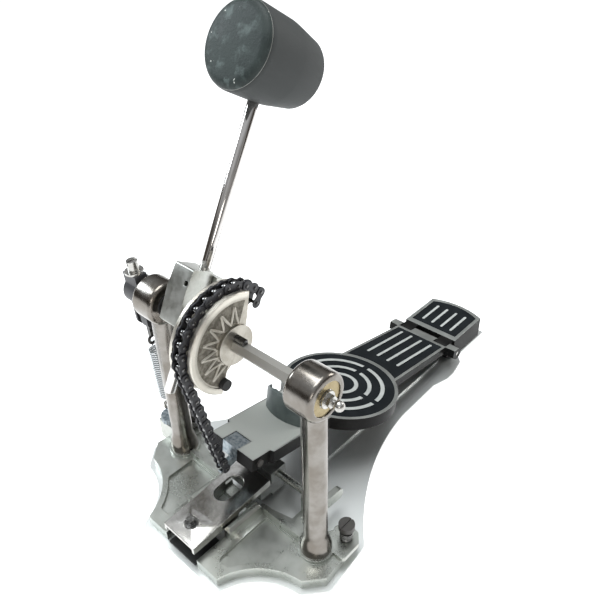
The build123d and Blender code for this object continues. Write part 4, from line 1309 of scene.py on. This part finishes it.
@dataclass
class ReturnSpring:
    """Rocker on the axle's end, the hanger, the wound spring and its anchor."""

    x: float = -97.0
    anchor_y: float = 6.0
    anchor_z: float = 37.0
    high: float = 50.3
    low: float = 117.3
    radius: float = 5.2
    wire: float = 0.78
    turns: float = 24.0
    end: float = 8.0
    loop_r: float = 3.7
    loop_drop: float = 4.3
    loop_bend: float = 0.5

    def build(self, layout: Layout) -> None:
        """Show the spring and what it hangs on.

        Args:
            layout: shared places.
        """
        redress("rocker", "axle_body", ROCKER)
        redress("rocker_screw", "axle_body", STEEL, 50.0)
        redress("rocker_pin", "axle_body", STEEL)
        redress("spring_hanger", "hanger", HOOK, 50.0)
        redress("eyebolt", "anchor", STEEL, 50.0)
        redress("wheel_nut", "nut", ZINC, 50.0)
        show("return_spring", self.spring(layout), "hanger", WIRE, ["extension_spring"])

    def spring(self, layout: Layout) -> bpy.types.Mesh:
        """Close-wound body with a loop at each end, along the line from axle to anchor.

        Args:
            layout: shared places.

        Returns:
            The spring as one mesh.
        """
        tilt = math.atan2(self.anchor_y, layout.axle_z - self.anchor_z)
        line = Matrix.Translation(Vector((self.x, 0, layout.axle_z)) * MM) @ Matrix.Rotation(tilt, 4, "X")
        height = self.low - self.high - 2 * self.end
        coil = wound(WIRE, self.wire, self.turns, self.radius, height)
        coil.transform(Matrix.Translation((0, 0, -(self.low - self.end) * MM)))
        bm = bmesh.new()
        bm.from_mesh(coil)
        for bottom in (True, False):
            bm.from_mesh(self.loop(bottom))
        bmesh.ops.transform(bm, matrix=line, verts=bm.verts)
        mesh = bpy.data.meshes.new("spring")
        bm.to_mesh(mesh)
        bm.free()
        return shade(mesh, 60.0)

    def loop(self, bottom: bool) -> bpy.types.Mesh:
        """Loop of wire that rises from the coil's end and closes on itself.

        Args:
            bottom: the lower loop, and not the upper.

        Returns:
            The loop.
        """
        sign = -1 if bottom else 1
        base = -(self.low - self.end) if bottom else -(self.high + self.end)
        centre = base + sign * self.loop_drop
        points = [(self.radius, 0.0, base), (self.radius * 0.9, 0.0, base + sign * 1.2)]
        for k in range(15):
            angle = math.radians(-sign * 30 + sign * 22 * k)
            points.append((self.loop_r * math.cos(angle), 0.0, centre + self.loop_r * math.sin(angle)))
        line = points_mesh([(x * MM, y * MM, z * MM) for x, y, z in points], joined=True)
        return bent_wire(WIRE, line, self.wire, self.loop_bend)


@dataclass
class Studio:
    """Camera, soft lights, surroundings that the metal mirrors, and the floor."""

    azimuth: float = 43.9
    elevation: float = 34.3
    roll: float = -1.9
    lens: float = 38.166
    shift: tuple[float, float] = (0.0066667, 0.0056667)
    target: Point = (-10.3, 75.5, 147.8)
    distance: float = 474.4
    sensor: float = 36.0
    floor_half: float = 30.0
    floor_z: float = -0.0004
    aim: Point = (0, 0.1, 0.1)
    lamps: tuple[tuple[str, Point, float, float, Colour], ...] = field(default=(
        ("overhead", (-0.2, 0.0, 1.7), 1.0, 21.0, (0.96, 0.99, 1.0)),
        ("window", (-1.5, -0.5, 1.1), 0.6, 14.0, (0.88, 0.95, 1.0)),
        ("fill", (1.2, -1.3, 0.8), 0.5, 4.0, (1.0, 0.96, 0.9)),
        ("rim", (0.6, 1.7, 0.9), 0.6, 9.0, (1.0, 0.99, 0.97))))

    def build(self) -> None:
        """Set up the studio."""
        self.camera()
        self.lights()
        self.surroundings()
        bpy.ops.mesh.primitive_plane_add(size=2 * self.floor_half)
        floor = bpy.context.object
        floor.name = "floor"
        floor.location.z = self.floor_z
        floor.data.materials.append(FLOOR.material())

    def camera(self) -> None:
        """Camera at the viewing angle, with a slight shift of the lens."""
        az, el, roll = (math.radians(a) for a in (self.azimuth, self.elevation, self.roll))
        back = Vector((math.sin(az) * math.cos(el), -math.cos(az) * math.cos(el), math.sin(el)))
        right = Vector((math.cos(az), math.sin(az), 0))
        up = back.cross(right)
        across = math.cos(roll) * right + math.sin(roll) * up
        rise = -math.sin(roll) * right + math.cos(roll) * up
        place = Vector(self.target) * MM + back * self.distance * MM
        data = bpy.data.cameras.new("camera")
        data.sensor_width = self.sensor
        data.lens = self.lens
        data.shift_x, data.shift_y = self.shift
        data.clip_start = 0.01
        camera = bpy.data.objects.new("camera", data)
        bpy.context.scene.collection.objects.link(camera)
        camera.matrix_world = Matrix((
            (across.x, rise.x, back.x, place.x), (across.y, rise.y, back.y, place.y),
            (across.z, rise.z, back.z, place.z), (0, 0, 0, 1)))
        bpy.context.scene.camera = camera
        bpy.context.scene.view_settings.view_transform = "Standard"

    def lights(self) -> None:
        """Large soft lamps aimed at the pedal."""
        aim = Vector(self.aim)
        for name, place, size, power, colour in self.lamps:
            data = bpy.data.lights.new(name, "AREA")
            data.size = size
            data.energy = power
            data.color = colour
            lamp = bpy.data.objects.new(name, data)
            bpy.context.scene.collection.objects.link(lamp)
            lamp.location = place
            lamp.rotation_euler = (aim - Vector(place)).to_track_quat("-Z", "Y").to_euler()

    def surroundings(self) -> None:
        """A soft room: bright above, warm grey at eye level, with a few broad pale panels."""
        world = bpy.data.worlds.new("room")
        bpy.context.scene.world = world
        world.use_nodes = True
        graph = Graph(world.node_tree)
        way = graph.node("ShaderNodeTexCoord").out("Generated")
        axes = graph.node("ShaderNodeSeparateXYZ", None, {0: way})
        rise = axes.out("Z")
        clouds = graph.node("ShaderNodeTexNoise", None, {"Vector": way, "Scale": 1.7, "Detail": 1.0}).out(0)
        panels = clouds.between(0.46, 0.6)
        stops = [(0.0, (0.30, 0.28, 0.26)), (0.5, (0.05, 0.04, 0.032)), (0.66, (0.11, 0.10, 0.09)),
                 (0.90, (0.62, 0.64, 0.66))]
        sky = graph.node("ShaderNodeValToRGB", {"stops": stops}, {0: rise * 0.5 + 0.5}).out(0)
        lit = graph.mix(panels * 0.28, sky, (1.0, 1.0, 1.0))
        back = graph.node("ShaderNodeBackground", None, {"Color": lit, "Strength": 1.0})
        graph.node("ShaderNodeOutputWorld", None, {"Surface": back.out(0)})


def main() -> None:
    """Build the looks of each sub-assembly in order."""
    logging.basicConfig(level=logging.INFO, format="%(message)s")
    layout = Layout()
    Studio().build()
    BaseFrame().build()
    Uprights().build(layout)
    AxleAndCam().build(layout)
    DriveChain().build(layout)
    Beater().build(layout)
    Footboard().build(layout)
    Heel().build()
    HoopClamp().build()
    Spurs().build()
    ReturnSpring().build(layout)


if __name__ == "__main__":
    main()
